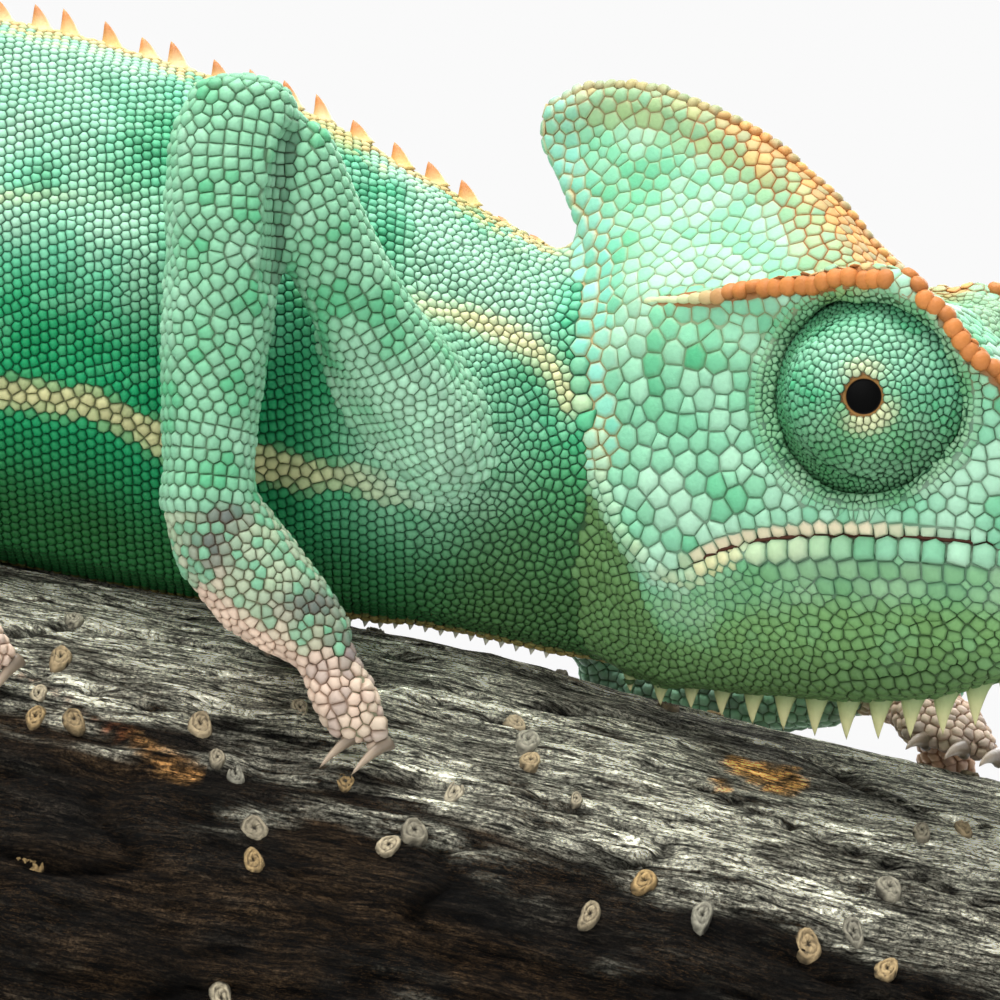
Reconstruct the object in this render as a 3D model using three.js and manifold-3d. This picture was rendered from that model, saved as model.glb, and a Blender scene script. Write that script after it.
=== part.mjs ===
// Veiled chameleon crouching on a cut length of branch, carried by a plain display stand.
// Millimetres. +X is forward, +Y is the animal's left, +Z is up. The floor is z = 0.
import * as THREE from 'three';
import { mergeVertices } from 'three/addons/utils/BufferGeometryUtils.js';
import Module from 'manifold-3d';

const wasm = await Module();
wasm.setup();
const { Manifold } = wasm;

// ---- driving sizes -------------------------------------------------------------------------
const GAP = 0.3; // clear cut between neighbouring pieces
const BASE = { length: 166, width: 88, height: 8, corner: 7 };
const ROD = { radius: 3.5, frontX: 47, rearX: -40 };

const PERCH = { radius: 26, slopeDeg: 12.2, axisZ: 59, rearX: -70, frontX: 78, bow: 0.9 };
const SLOPE = THREE.MathUtils.degToRad(PERCH.slopeDeg);

// trunk and neck: height of the back and of the belly, half width, at stations along X
const TRUNK = [
  { x: -74, top: 112.8, bottom: 103.4, half: 4.7 },
  { x: -62, top: 117.6, bottom: 102.0, half: 6.8 },
  { x: -48, top: 123.0, bottom: 98.4, half: 9.6 },
  { x: -33, top: 126.0, bottom: 94.0, half: 12.0 },
  { x: -16, top: 126.4, bottom: 89.2, half: 13.0 },
  { x: 0, top: 124.0, bottom: 85.6, half: 12.9 },
  { x: 14, top: 120.2, bottom: 83.0, half: 12.4 },
  { x: 26, top: 115.2, bottom: 81.9, half: 11.3 },
  { x: 35, top: 109.4, bottom: 80.2, half: 9.6 },
  { x: 46, top: 106.0, bottom: 77.6, half: 7.6 },
];
const CUTS = { neck: 29, middle: -16, tail: -64 };

const TAIL = {
  length: 176, rootRadius: 4.75, tipRadius: 0.75, lengths: 5, crestLength: 34,
  coilX: -91, coilZ: 81, coilRadius: 25.5, coilEnd: 6.5, turns: 1.62,
};

// head: placed by its neck pivot, turned towards the viewer's side
const HEAD = { pivotX: 40, yawDeg: -27, rollDeg: -2, centreX: 20, centreZ: 94 };
// side outline in the head's own frame, from the snout over the casque and back by the chin
const HEAD_OUTLINE = [
  [43.0, 88.8], [41.6, 91.6], [36.8, 95.0], [31.2, 100.2], [25.8, 104.2], [21.4, 108.6],
  [17.4, 113.0], [12.6, 116.0], [7.4, 118.6], [2.6, 119.6], [-1.4, 118.5], [-2.5, 116.0],
  [-1.2, 112.4], [0.6, 108.2], [0.4, 103.0], [0.0, 96.0], [0.0, 88.5], [0.2, 82.0],
  [4.0, 77.8], [11.0, 77.1], [18.0, 76.6], [25.0, 76.5], [31.0, 77.6], [36.4, 80.4],
  [40.6, 83.8], [42.8, 86.6],
];
const MOUTH = [[12.4, 85.7], [17.6, 87.2], [22.0, 87.8], [28.0, 87.7], [35.0, 87.3], [46.0, 88.3]];
const JAW = { hinge: 6, corner: 76, low: 60 };
const BROW = [
  [8.0, 6.6, 103.4], [14.0, 7.9, 103.8], [19.4, 8.7, 104.2], [24.0, 9.1, 104.8],
  [27.4, 9.1, 104.8], [30.2, 8.9, 103.1], [32.6, 8.2, 100.0], [35.6, 7.0, 96.8],
  [38.8, 5.2, 94.2], [41.0, 3.4, 92.4],
];
const SHELF = { depth: 5, sag: 1.7, rim: 0.5 };
const EYE = { x: 25.1, side: 6.6, z: 96.9, radius: 6.2, socket: 6.85, lens: 1.3, pocket: 1.5 };

// legs: points run from the trunk to the wrist; side is -1 for the right and +1 for the left
const LEGS = {
  fore_right: {
    upper: [[32.0, -7.6, 91.0], [28.6, -12.6, 97.8], [24.8, -15.6, 104.4], [19.6, -18.2, 115.8]],
    upperRadius: [5.2, 4.1, 3.3, 3.9],
    lower: [[18.4, -18.8, 118.6], [17.2, -19.1, 110.7], [15.9, -19.2, 99.5], [15.4, -19.2, 88.2]],
    lowerRadius: [4.2, 3.95, 3.55, 3.2],
    palm: [[15.4, -19.1, 90.2], [17.0, -18.6, 86.2], [20.2, -17.7, 83.4], [24.7, -17.6, 79.8]],
    palmRadius: [3.35, 3.7, 3.6, 3.0],
    outer: { from: [22.8, -17.8, 80.8], tips: [[20.6, -45.0], [22.7, -45.2]], dx: -1.5, da: -4.6 },
    inner: { from: [20.2, -16.4, 82.2], tips: [[14.6, -26], [16.6, -24], [18.4, -26]], dx: 1.1, da: 4 },
  },
  fore_left: {
    upper: [[31.0, 8.6, 91.0], [36.0, 12.6, 87.0], [40.4, 16.4, 82.6], [43.0, 20.0, 78.4]],
    upperRadius: [4.6, 3.7, 3.1, 3.5],
    lower: [[40.4, 20.6, 77.6], [48.0, 17.4, 76.8], [55.0, 13.4, 76.4], [62.4, 9.6, 77.2]],
    lowerRadius: [4.0, 3.7, 3.3, 3.0],
    palm: [[60.4, 10.6, 76.8], [63.0, 9.4, 77.2], [65.2, 8.6, 76.6], [66.8, 8.2, 75.2]],
    palmRadius: [3.1, 3.4, 3.5, 3.1],
    inner: { from: [64.0, 7.6, 76.4], tips: [[58.2, 2.0], [60.8, 0.5], [63.3, 2.5]], dx: -1.3, da: -6 },
    outer: { from: [65.6, 9.4, 75.8], tips: [[64.2, 35], [62.0, 37]], dx: 1.0, da: 6 },
  },
  hind_right: {
    upper: [[-51.0, -4.6, 108.6], [-43.0, -11.0, 111.4], [-34.0, -15.8, 114.0], [-23.6, -18.6, 116.0]],
    upperRadius: [5.4, 4.7, 4.0, 3.9],
    lower: [[-25.2, -18.8, 118.4], [-21.4, -19.4, 110.0], [-17.6, -19.8, 100.4], [-13.6, -20.0, 89.6]],
    lowerRadius: [4.2, 3.9, 3.4, 3.0],
    palm: [[-14.0, -20.0, 91.6], [-10.6, -19.4, 88.0], [-6.0, -18.9, 85.4], [-1.6, -18.6, 82.8]],
    palmRadius: [3.2, 3.5, 3.4, 2.8],
    outer: { from: [-2.6, -18.8, 82.8], tips: [[-6.0, -46], [-3.8, -45], [-1.7, -43]], dx: -1.0, da: -6 },
    inner: { from: [-6.4, -17.8, 85.2], tips: [[-11.4, -24], [-9.2, -23]], dx: 1.2, da: 4 },
  },
  hind_left: {
    upper: [[-51.0, 4.6, 108.6], [-44.0, 11.0, 110.6], [-36.0, 15.8, 112.4], [-27.0, 19.0, 113.4]],
    upperRadius: [5.4, 4.7, 4.0, 3.9],
    lower: [[-24.8, 19.2, 114.6], [-32.0, 20.2, 108.6], [-39.0, 20.8, 102.0], [-46.6, 20.8, 95.0]],
    lowerRadius: [4.1, 3.8, 3.4, 3.0],
    palm: [[-47.0, 20.6, 97.4], [-45.4, 20.0, 94.4], [-42.4, 19.4, 92.4], [-39.2, 19.0, 90.6]],
    palmRadius: [3.2, 3.5, 3.4, 2.8],
    outer: { from: [-41.0, 19.4, 91.0], tips: [[-42.6, 45], [-40.4, 44], [-38.2, 42]], dx: 1.2, da: 6 },
    inner: { from: [-42.4, 18.4, 92.0], tips: [[-46.0, 21], [-43.8, 20]], dx: 1.3, da: -5 },
  },
};
const TOE = { rootRadius: 2.1, midRadius: 1.75, tipRadius: 1.3, lift: 1.35, arch: 0.8 };
const CLAW = { radius: 0.52, bow: 0.55, reach: 0.35 };
const CASQUE_CUT = 105.6; // height in the head's frame where the casque is parted from the skull
const FAR = 90; // past every piece on any side

// faces around and along each kind of piece
const FACETS = {
  head: [28, 12], brow: [10, 4], socket: [12, 6], turret: [12, 8], lens: 10, trunk: [14, 15],
  tail: [7, 7], limb: [8, 7], palm: [8, 6], toe: [6, 4], claw: [4, 3], perch: [18, 5], rod: 12,
  spine: 4,
};

const DORSAL = { pitch: 2.6, height: 1.9, radius: 0.85, from: 37.5, to: -72 };
const VENTRAL = { pitch: 2.4, height: 1.0, radius: 0.6, from: 38, to: 18 };
const GULAR = { pitch: 2.33, height: 2.3, radius: 1.05, from: 39.5, to: 2.5, shortFrom: 20 };

const COLOURS = {
  flesh: 0x5fae82, head: 0xa4d5b6, limb: 0x8fc6a2, foot: 0xc9a68c, turret: 0x6fae86,
  pupil: 0x060505, claw: 0x8b8069, bark: 0x5b5346, stand: 0x3b2a1e, rod: 0x8a8c90,
};

// ---- small helpers -------------------------------------------------------------------------
const vec = (p) => new THREE.Vector3(p[0], p[1], p[2]);
const mix = THREE.MathUtils.lerp;
const smooth = (x, low, high) => THREE.MathUtils.smoothstep(x, low, high);

// volume enclosed by an indexed geometry, negative where its faces point inwards
function signedVolume(geometry) {
  const position = geometry.attributes.position;
  const corners = [0, 1, 2].map(() => new THREE.Vector3());
  const index = geometry.index.array;
  let volume = 0;
  for (let i = 0; i < index.length; i += 3) {
    corners.forEach((corner, k) => corner.fromBufferAttribute(position, index[i + k]));
    volume += corners[0].dot(corners[1].cross(corners[2])) / 6;
  }
  return volume;
}

function toSolid(geometry) {
  const bare = geometry.clone();
  bare.deleteAttribute('normal');
  bare.deleteAttribute('uv');
  const merged = mergeVertices(bare, 1e-4);
  const corners = Uint32Array.from(merged.index.array);
  if (signedVolume(merged) < 0) {
    for (let i = 0; i < corners.length; i += 3) {
      [corners[i], corners[i + 1]] = [corners[i + 1], corners[i]];
    }
  }
  const mesh = new wasm.Mesh({
    numProp: 3,
    vertProperties: Float32Array.from(merged.attributes.position.array),
    triVerts: corners,
  });
  return new Manifold(mesh);
}

function toGeometry(solid) {
  const mesh = solid.getMesh();
  const geometry = new THREE.BufferGeometry();
  geometry.setAttribute('position', new THREE.BufferAttribute(mesh.vertProperties, 3));
  geometry.setIndex(new THREE.BufferAttribute(mesh.triVerts, 1));
  return geometry;
}

function join(solids) {
  return solids.reduce((all, one) => all.add(one));
}

// moves every vertex of a geometry by a function that takes and returns a vector
function moved(geometry, place) {
  const position = geometry.attributes.position;
  const point = new THREE.Vector3();
  for (let i = 0; i < position.count; i += 1) {
    point.fromBufferAttribute(position, i);
    const next = place(point);
    position.setXYZ(i, next.x, next.y, next.z);
  }
  return geometry;
}

// value at t (0 to 1) along a short list of evenly spread values
function along(values, t) {
  const at = THREE.MathUtils.clamp(t, 0, 1) * (values.length - 1);
  const step = Math.min(Math.floor(at), values.length - 2);
  return mix(values[step], values[step + 1], smooth(at - step, 0, 1));
}

// point, sideways and upward directions on a curve
function frameAt(curve, t) {
  const centre = curve.getPoint(t);
  const ahead = curve.getTangent(t);
  const hint = Math.abs(ahead.z) > 0.9 ? new THREE.Vector3(1, 0, 0) : new THREE.Vector3(0, 0, 1);
  const side = new THREE.Vector3().crossVectors(ahead, hint).normalize();
  const up = new THREE.Vector3().crossVectors(side, ahead).normalize();
  return { centre, side, up };
}

// round-ended limb through points, with its radius given at even steps along it
function limb(points, radii, [around, rings], extra = 0) {
  const curve = new THREE.CatmullRomCurve3(points.map(vec), false, 'centripetal');
  const first = frameAt(curve, 0.5);
  const ball = moved(new THREE.SphereGeometry(1, around, rings), (p) => {
    const t = (1 - p.y) / 2;
    const ring = Math.hypot(p.x, p.z);
    const radius = (along(radii, t) + extra) * Math.pow(ring, 0.55);
    const here = curve.getPoint(t);
    const ahead = curve.getTangent(t);
    const side = first.side.clone().addScaledVector(ahead, -ahead.dot(first.side)).normalize();
    const up = new THREE.Vector3().crossVectors(side, ahead).normalize();
    const unit = ring > 1e-6 ? radius / ring : 0;
    return here.addScaledVector(side, p.x * unit).addScaledVector(up, p.z * unit);
  });
  return toSolid(ball);
}

function spike(centre, tip, radius) {
  const cone = new THREE.ConeGeometry(radius, centre.distanceTo(tip), FACETS.spine, 1);
  const middle = centre.clone().add(tip).multiplyScalar(0.5);
  const turn = new THREE.Quaternion().setFromUnitVectors(
    new THREE.Vector3(0, 1, 0), tip.clone().sub(centre).normalize());
  cone.applyQuaternion(turn);
  cone.translate(middle.x, middle.y, middle.z);
  return toSolid(cone);
}

// box between two X planes that takes in everything else
function slab(fromX, toX) {
  const box = new THREE.BoxGeometry(toX - fromX, 2 * FAR, 4 * FAR);
  box.translate((fromX + toX) / 2, 0, 0);
  return toSolid(box);
}

// ---- perch and stand -----------------------------------------------------------------------
function perchAxisZ(x) {
  return PERCH.axisZ - Math.tan(SLOPE) * x + PERCH.bow * Math.exp(-Math.pow((x - 28) / 24, 2));
}

function perchRadius(x, angle) {
  const broad = 0.35 * Math.sin(3 * angle + x / 31) + 0.25 * Math.cos(5 * angle - x / 19);
  const top = Math.max(0, Math.cos(angle));
  return PERCH.radius + broad * (1 - top);
}

// point over the perch: place along its axis, angle round from the top, height off the bark
function onPerch(x, angle, lift) {
  const r = perchRadius(x, angle) + lift;
  return new THREE.Vector3(
    x + r * Math.sin(SLOPE) * Math.cos(angle),
    r * Math.sin(angle),
    perchAxisZ(x) + r * Math.cos(SLOPE) * Math.cos(angle));
}

function perchSolid(extra = 0) {
  const log = new THREE.CylinderGeometry(1, 1, 1, ...FACETS.perch);
  return toSolid(moved(log, (p) => {
    const x = mix(PERCH.rearX - extra, PERCH.frontX + extra, p.y + 0.5);
    const ring = Math.hypot(p.x, p.z);
    const angle = Math.atan2(p.x, p.z);
    const middle = onPerch(x, 0, -perchRadius(x, 0));
    return middle.lerp(onPerch(x, angle, extra), ring);
  }));
}

function baseSolid() {
  const half = { x: BASE.length / 2 - BASE.corner, y: BASE.width / 2 - BASE.corner };
  const plate = new THREE.Shape();
  plate.absarc(half.x, half.y, BASE.corner, 0, Math.PI / 2);
  plate.absarc(-half.x, half.y, BASE.corner, Math.PI / 2, Math.PI);
  plate.absarc(-half.x, -half.y, BASE.corner, Math.PI, 1.5 * Math.PI);
  plate.absarc(half.x, -half.y, BASE.corner, 1.5 * Math.PI, 2 * Math.PI);
  const board = new THREE.ExtrudeGeometry(plate, {
    depth: BASE.height, bevelEnabled: false, curveSegments: 3,
  });
  return toSolid(board);
}

function rodSolid(x) {
  const bottom = BASE.height + 0.02;
  const rod = new THREE.CylinderGeometry(ROD.radius, ROD.radius, PERCH.axisZ, FACETS.rod);
  rod.rotateX(Math.PI / 2);
  rod.translate(x, 0, bottom + PERCH.axisZ / 2);
  return toSolid(rod).subtract(perchSolid(0.05)).decompose()
    .sort((a, b) => a.boundingBox().min[2] - b.boundingBox().min[2])[0];
}

// ---- trunk, neck and tail ------------------------------------------------------------------
function trunkAt(x, key) {
  const last = TRUNK.length - 1;
  const next = THREE.MathUtils.clamp(TRUNK.findIndex((s) => s.x >= x), 1, last);
  const p = [next - 2, next - 1, next, next + 1].map((i) => TRUNK[THREE.MathUtils.clamp(i, 0, last)]);
  const t = (x - p[1].x) / (p[2].x - p[1].x);
  const slopeIn = (p[2][key] - p[0][key]) / (p[2].x - p[0].x || 1) * (p[2].x - p[1].x);
  const slopeOut = (p[3][key] - p[1][key]) / (p[3].x - p[1].x || 1) * (p[2].x - p[1].x);
  const t2 = t * t;
  const t3 = t2 * t;
  return (2 * t3 - 3 * t2 + 1) * p[1][key] + (t3 - 2 * t2 + t) * slopeIn
    + (3 * t2 - 2 * t3) * p[2][key] + (t3 - t2) * slopeOut;
}

function trunkSolid(extra = 0) {
  const log = new THREE.CylinderGeometry(1, 1, 1, ...FACETS.trunk);
  return toSolid(moved(log, (p) => {
    const x = mix(TRUNK[0].x, TRUNK[TRUNK.length - 1].x, p.y + 0.5);
    const ring = Math.hypot(p.x, p.z);
    const angle = Math.atan2(p.x, p.z);
    const top = trunkAt(x, 'top') + extra;
    const bottom = trunkAt(x, 'bottom') - extra;
    const half = trunkAt(x, 'half') + extra;
    const keel = 1 - 0.3 * Math.pow(Math.max(0, Math.cos(angle)), 3);
    const lift = Math.sign(Math.cos(angle)) * Math.pow(Math.abs(Math.cos(angle)), 0.9);
    return new THREE.Vector3(
      x,
      ring * half * Math.sin(angle) * keel,
      (top + bottom) / 2 + ring * (top - bottom) / 2 * lift);
  }));
}

function dorsalSpines() {
  const spines = [];
  for (let x = DORSAL.from; x > DORSAL.to; x -= DORSAL.pitch) {
    const fade = mix(0.5, 1, smooth(x, DORSAL.to, -20)) * mix(0.75, 1, smooth(-x, -38, -30));
    const root = new THREE.Vector3(x, 0, trunkAt(x, 'top') - 0.5);
    const tip = root.clone().add(new THREE.Vector3(-0.25, 0, 0.5 + DORSAL.height * fade));
    spines.push(spike(root, tip, DORSAL.radius));
  }
  return spines;
}

function tailSpines(curve) {
  const spines = [];
  for (let s = 3; s < TAIL.crestLength; s += DORSAL.pitch) {
    const t = s / TAIL.length;
    const here = curve.getPointAt(t);
    const ahead = curve.getTangentAt(t);
    const up = new THREE.Vector3(ahead.z, 0, -ahead.x);
    const size = mix(0.5, 0.2, s / TAIL.crestLength);
    const root = here.clone().addScaledVector(up, tailRadius(t) - 0.4);
    const tip = root.clone().addScaledVector(up, 0.4 + DORSAL.height * size);
    spines.push(spike(root, tip, DORSAL.radius * mix(1, 0.6, s / TAIL.crestLength)));
  }
  return spines;
}

function tailRadius(t) {
  return mix(TAIL.rootRadius, TAIL.tipRadius, Math.pow(t, 0.62));
}

function ventralSpines() {
  const spines = [];
  for (let x = VENTRAL.from; x > VENTRAL.to; x -= VENTRAL.pitch) {
    const root = new THREE.Vector3(x, 0, trunkAt(x, 'bottom') + 0.35);
    const tip = root.clone().add(new THREE.Vector3(0, 0, -0.35 - VENTRAL.height));
    spines.push(spike(root, tip, VENTRAL.radius));
  }
  return spines;
}

// the tail leaves the hips level and closes into a loose upright coil
function tailPoint(s) {
  const start = -TRUNK[0].x - 2;
  const straight = -TAIL.coilX - start;
  if (s < straight) {
    const t = s / straight;
    const z = mix(108.1, TAIL.coilZ + TAIL.coilRadius, t * (2 - t));
    return new THREE.Vector3(-start - s, 0, z);
  }
  const t = (s - straight) / (TAIL.length - straight);
  const radius = mix(TAIL.coilRadius, TAIL.coilEnd, Math.pow(t, 0.85));
  const eased = 1 - Math.pow(1 - t, 1.35);
  const angle = eased * TAIL.turns * 2 * Math.PI;
  return new THREE.Vector3(
    TAIL.coilX - radius * Math.sin(angle), 0, TAIL.coilZ + radius * Math.cos(angle));
}

function tailCurve() {
  const steps = 44;
  const points = [];
  for (let i = 0; i <= steps; i += 1) points.push(tailPoint(TAIL.length * i / steps));
  return new THREE.CatmullRomCurve3(points, false, 'centripetal');
}

function tailLength(curve, from, to, last) {
  const span = new THREE.CylinderGeometry(1, 1, 1, ...FACETS.tail);
  return toSolid(moved(span, (p) => {
    const t = mix(from, to, p.y + 0.5);
    const tip = last ? Math.sqrt(1 - Math.pow(smooth(t, 0.985, 1), 2) * 0.75) : 1;
    const radius = tailRadius(t) * tip;
    const here = curve.getPointAt(t);
    const ahead = curve.getTangentAt(t);
    const up = new THREE.Vector3(-ahead.z, 0, ahead.x);
    return here.addScaledVector(up, -p.z * radius)
      .add(new THREE.Vector3(0, p.x * radius, 0));
  }));
}

// ---- head ----------------------------------------------------------------------------------
function toWorld(point) {
  const roll = THREE.MathUtils.degToRad(HEAD.rollDeg);
  const yaw = THREE.MathUtils.degToRad(HEAD.yawDeg);
  const middle = HEAD.centreZ;
  const rolled = new THREE.Vector3(
    point.x,
    point.y * Math.cos(roll) - (point.z - middle) * Math.sin(roll),
    point.y * Math.sin(roll) + (point.z - middle) * Math.cos(roll) + middle);
  return rolled.applyAxisAngle(new THREE.Vector3(0, 0, 1), yaw)
    .add(new THREE.Vector3(HEAD.pivotX, 0, 0));
}

// half width of the head at a place on its side outline
function headHalf(x, z) {
  const cheek = 8.9 - 0.9 * smooth(-x, -8, 2);
  const snout = mix(1, 0.56, smooth(x, 29, 43.5));
  const casque = mix(1, 0.17, Math.pow(smooth(z, 102, 116), 0.8));
  const throat = mix(1, 0.62, smooth(-z, -86, -77));
  const jaw = 1 + 0.04 * Math.exp(-Math.pow((z - 90) / 3, 2));
  return cheek * snout * casque * throat * jaw;
}

function headCore(extra = 0) {
  const outline = new THREE.CatmullRomCurve3(
    HEAD_OUTLINE.map(([x, z]) => new THREE.Vector3(x, 0, z)), true, 'centripetal');
  const ball = moved(new THREE.SphereGeometry(1, ...FACETS.head), (p) => {
    const ring = Math.hypot(p.x, p.z);
    const turn = (Math.atan2(p.z, p.x) / (2 * Math.PI) + 1) % 1;
    const edge = outline.getPoint(turn);
    const reach = ring * (1 + extra / 18);
    const x = HEAD.centreX + reach * (edge.x - HEAD.centreX);
    const z = HEAD.centreZ + reach * (edge.z - HEAD.centreZ);
    const side = Math.sign(p.y) * Math.pow(Math.abs(p.y), 0.5) * (headHalf(x, z) + extra);
    return toWorld(new THREE.Vector3(x, side, z));
  });
  return toSolid(ball);
}

// hollow shelf across the forehead; its raised rims are the two brow ridges
function browShelf() {
  const curve = new THREE.CatmullRomCurve3(BROW.map(vec), false, 'centripetal');
  const box = moved(new THREE.BoxGeometry(1, 1, 1, ...FACETS.brow, 1), (p) => {
    const ridge = curve.getPoint(p.x + 0.5);
    const across = 2 * p.y;
    const upper = p.z > 0;
    const sag = upper ? SHELF.sag * smooth(1 - Math.abs(across), 0, 0.4) - SHELF.rim : SHELF.depth;
    const y = across * (ridge.y + SHELF.rim) * (upper ? 1 : 0.9);
    return toWorld(new THREE.Vector3(ridge.x + (upper ? 0 : -1), y, ridge.z - sag));
  });
  return toSolid(box);
}

function gularSpines() {
  const spines = [];
  for (let x = GULAR.from; x > GULAR.to; x -= GULAR.pitch) {
    const size = mix(0.3, 1, smooth(x, GULAR.to - 4, GULAR.shortFrom));
    const chin = chinZ(x);
    const root = toWorld(new THREE.Vector3(x, 0, chin + 0.7));
    const lean = x > 33 ? 0.8 : 0;
    const tip = toWorld(new THREE.Vector3(x + lean - 0.2, 0, chin - GULAR.height * size));
    spines.push(spike(root, tip, GULAR.radius * mix(0.6, 1, size)));
  }
  return spines;
}

// height of the chin at a place along the head, read off the outline
function chinZ(x) {
  const lower = HEAD_OUTLINE.filter(([, z]) => z < 88).sort((a, b) => a[0] - b[0]);
  const next = Math.max(1, lower.findIndex(([at]) => at >= x));
  const [a, b] = [lower[next - 1], lower[next]];
  return mix(a[1], b[1], (x - a[0]) / (b[0] - a[0]));
}

function eyeCentre(side) {
  return toWorld(new THREE.Vector3(EYE.x, EYE.side * side, EYE.z));
}

function ballAt(centre, radius, facets = FACETS.turret) {
  const ball = new THREE.SphereGeometry(radius, ...facets);
  ball.rotateX(Math.PI / 2);
  ball.translate(centre.x, centre.y, centre.z);
  return toSolid(ball);
}

// the right eye watches the viewer, the left one looks out and ahead
function eyeLook(side) {
  return side < 0
    ? new THREE.Vector3(-0.085, -1, -0.02).normalize()
    : new THREE.Vector3(0.75, 0.62, 0.05).normalize();
}

function lensSolid(side, radius, from, to) {
  const look = eyeLook(side);
  const disc = new THREE.CylinderGeometry(radius, radius, to - from, FACETS.lens);
  disc.applyQuaternion(new THREE.Quaternion().setFromUnitVectors(new THREE.Vector3(0, 1, 0), look));
  const middle = eyeCentre(side).addScaledVector(look, (from + to) / 2);
  disc.translate(middle.x, middle.y, middle.z);
  return toSolid(disc);
}

// solid under an outline in the head's own side view, as wide as the head and more
function headPrism(outline) {
  const shape = new THREE.Shape(outline.map(([x, z]) => new THREE.Vector2(x, z)));
  const prism = new THREE.ExtrudeGeometry(shape, { depth: FAR, bevelEnabled: false });
  return toSolid(moved(prism, (p) => toWorld(new THREE.Vector3(p.x, FAR / 2 - p.z, p.y))));
}

// prism over the lower jaw; its upper edge is the mouth line moved by a small offset
function jawPrism(offset) {
  const [corner, ...line] = MOUTH;
  return headPrism([
    [corner[0] - offset * 2, corner[1] + offset],
    ...line.map(([x, z]) => [x, z + offset]),
    [FAR, MOUTH[MOUTH.length - 1][1]], [FAR, JAW.low],
    [JAW.hinge - offset, JAW.low], [JAW.hinge - offset, JAW.corner],
  ]);
}

function casquePrism(offset) {
  const floor = CASQUE_CUT + offset;
  return headPrism([[-FAR, floor], [FAR, floor], [FAR, floor + FAR], [-FAR, floor + FAR]]);
}

// ---- legs ----------------------------------------------------------------------------------
function toeTips(bundle) {
  return bundle.tips.map(([x, deg]) => ({
    x, angle: THREE.MathUtils.degToRad(deg),
    end: onPerch(x, THREE.MathUtils.degToRad(deg), TOE.lift),
  }));
}

function toesSolid(bundle) {
  return join(toeTips(bundle).map(({ end }, i, all) => {
    const spread = (i - (all.length - 1) / 2) * 0.9;
    const from = vec(bundle.from).add(new THREE.Vector3(spread * 0.8, 0, -Math.abs(spread) * 0.2));
    const knuckle = from.clone().lerp(end, 0.6);
    const away = new THREE.Vector3(0, Math.sign(end.y || 1), 1.2).normalize();
    knuckle.addScaledVector(away, TOE.arch);
    const points = [from, knuckle, end].map((p) => p.toArray());
    return limb(points, [TOE.rootRadius, TOE.midRadius, TOE.tipRadius], FACETS.toe);
  }));
}

function clawSolids(bundle) {
  return toeTips(bundle).map(({ x, angle, end }) => {
    const turn = THREE.MathUtils.degToRad(bundle.da);
    const tip = onPerch(x + bundle.dx, angle + turn, CLAW.reach);
    const root = end.clone().lerp(tip, -0.05);
    const middle = root.clone().lerp(tip, 0.55);
    const out = onPerch(x, angle, 5).sub(onPerch(x, angle, 0)).normalize();
    middle.addScaledVector(out, CLAW.bow);
    const points = [root, middle, tip].map((p) => p.toArray());
    return limb(points, [CLAW.radius * 1.25, CLAW.radius, CLAW.radius * 0.42], FACETS.claw);
  });
}

// ---- assembly ------------------------------------------------------------------------------
const group = new THREE.Group();
group.name = 'veiled_chameleon';

function material(name, colour, roughness, metalness = 0) {
  const made = new THREE.MeshStandardMaterial({ color: colour, roughness, metalness });
  made.name = name;
  return made;
}

const MATERIALS = {
  flesh: material('flesh', COLOURS.flesh, 0.62),
  head: material('head', COLOURS.head, 0.6),
  limb: material('limb', COLOURS.limb, 0.6),
  foot: material('foot', COLOURS.foot, 0.65),
  turret: material('turret', COLOURS.turret, 0.6),
  pupil: material('pupil', COLOURS.pupil, 0.12),
  claw: material('claw', COLOURS.claw, 0.35),
  bark: material('bark', COLOURS.bark, 0.9),
  stand: material('stand', COLOURS.stand, 0.45),
  rod: material('rod', COLOURS.rod, 0.35, 0.9),
};

// keeps the largest closed body of a solid, so that no crumb is left from a cut
function largest(solid) {
  return solid.decompose().sort((a, b) => b.volume() - a.volume())[0];
}

function add(name, solid, kind) {
  const mesh = new THREE.Mesh(toGeometry(largest(solid)), MATERIALS[kind]);
  mesh.name = name;
  group.add(mesh);
}

function addTrunk(perchClear, headClear) {
  const body = join([trunkSolid(), ...dorsalSpines(), ...ventralSpines()]).subtract(perchClear);
  const half = GAP / 2;
  const neck = body.intersect(slab(CUTS.neck + half, FAR)).subtract(headClear);
  add('neck', neck, 'flesh');
  add('trunk_front', body.intersect(slab(CUTS.middle + half, CUTS.neck - half)), 'flesh');
  add('trunk_rear', body.intersect(slab(CUTS.tail + half, CUTS.middle - half)), 'flesh');
  const stub = body.intersect(slab(-FAR, CUTS.tail - half));
  const curve = tailCurve();
  for (let i = 0; i < TAIL.lengths; i += 1) {
    const cut = GAP / 2 / TAIL.length;
    const from = i / TAIL.lengths + (i ? cut : 0);
    const to = (i + 1) / TAIL.lengths - (i < TAIL.lengths - 1 ? cut : 0);
    const piece = tailLength(curve, from, to, i === TAIL.lengths - 1);
    add(`tail_${i + 1}`, i ? piece : join([piece, stub, ...tailSpines(curve)]), 'flesh');
  }
}

function addHead() {
  const sockets = [-1, 1].map((side) => ballAt(eyeCentre(side), EYE.socket, FACETS.socket));
  const whole = join([headCore(), browShelf(), ...gularSpines()]).subtract(join(sockets));
  const half = GAP / 2;
  add('casque', whole.intersect(casquePrism(half)), 'head');
  add('head_upper', whole.subtract(casquePrism(-half)).subtract(jawPrism(half)), 'head');
  add('lower_jaw', whole.intersect(jawPrism(-half)), 'head');
}

function addEyes() {
  for (const [name, side] of [['right', -1], ['left', 1]]) {
    const pocket = lensSolid(side, EYE.pocket, EYE.radius - 1.4, EYE.radius + 2);
    add(`eye_turret_${name}`, ballAt(eyeCentre(side), EYE.radius).subtract(pocket), 'turret');
    const lens = lensSolid(side, EYE.lens, EYE.radius - 1.2, EYE.radius + 1);
    add(`eye_${name}`, lens.intersect(ballAt(eyeCentre(side), EYE.radius - 0.15)), 'pupil');
  }
}

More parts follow.
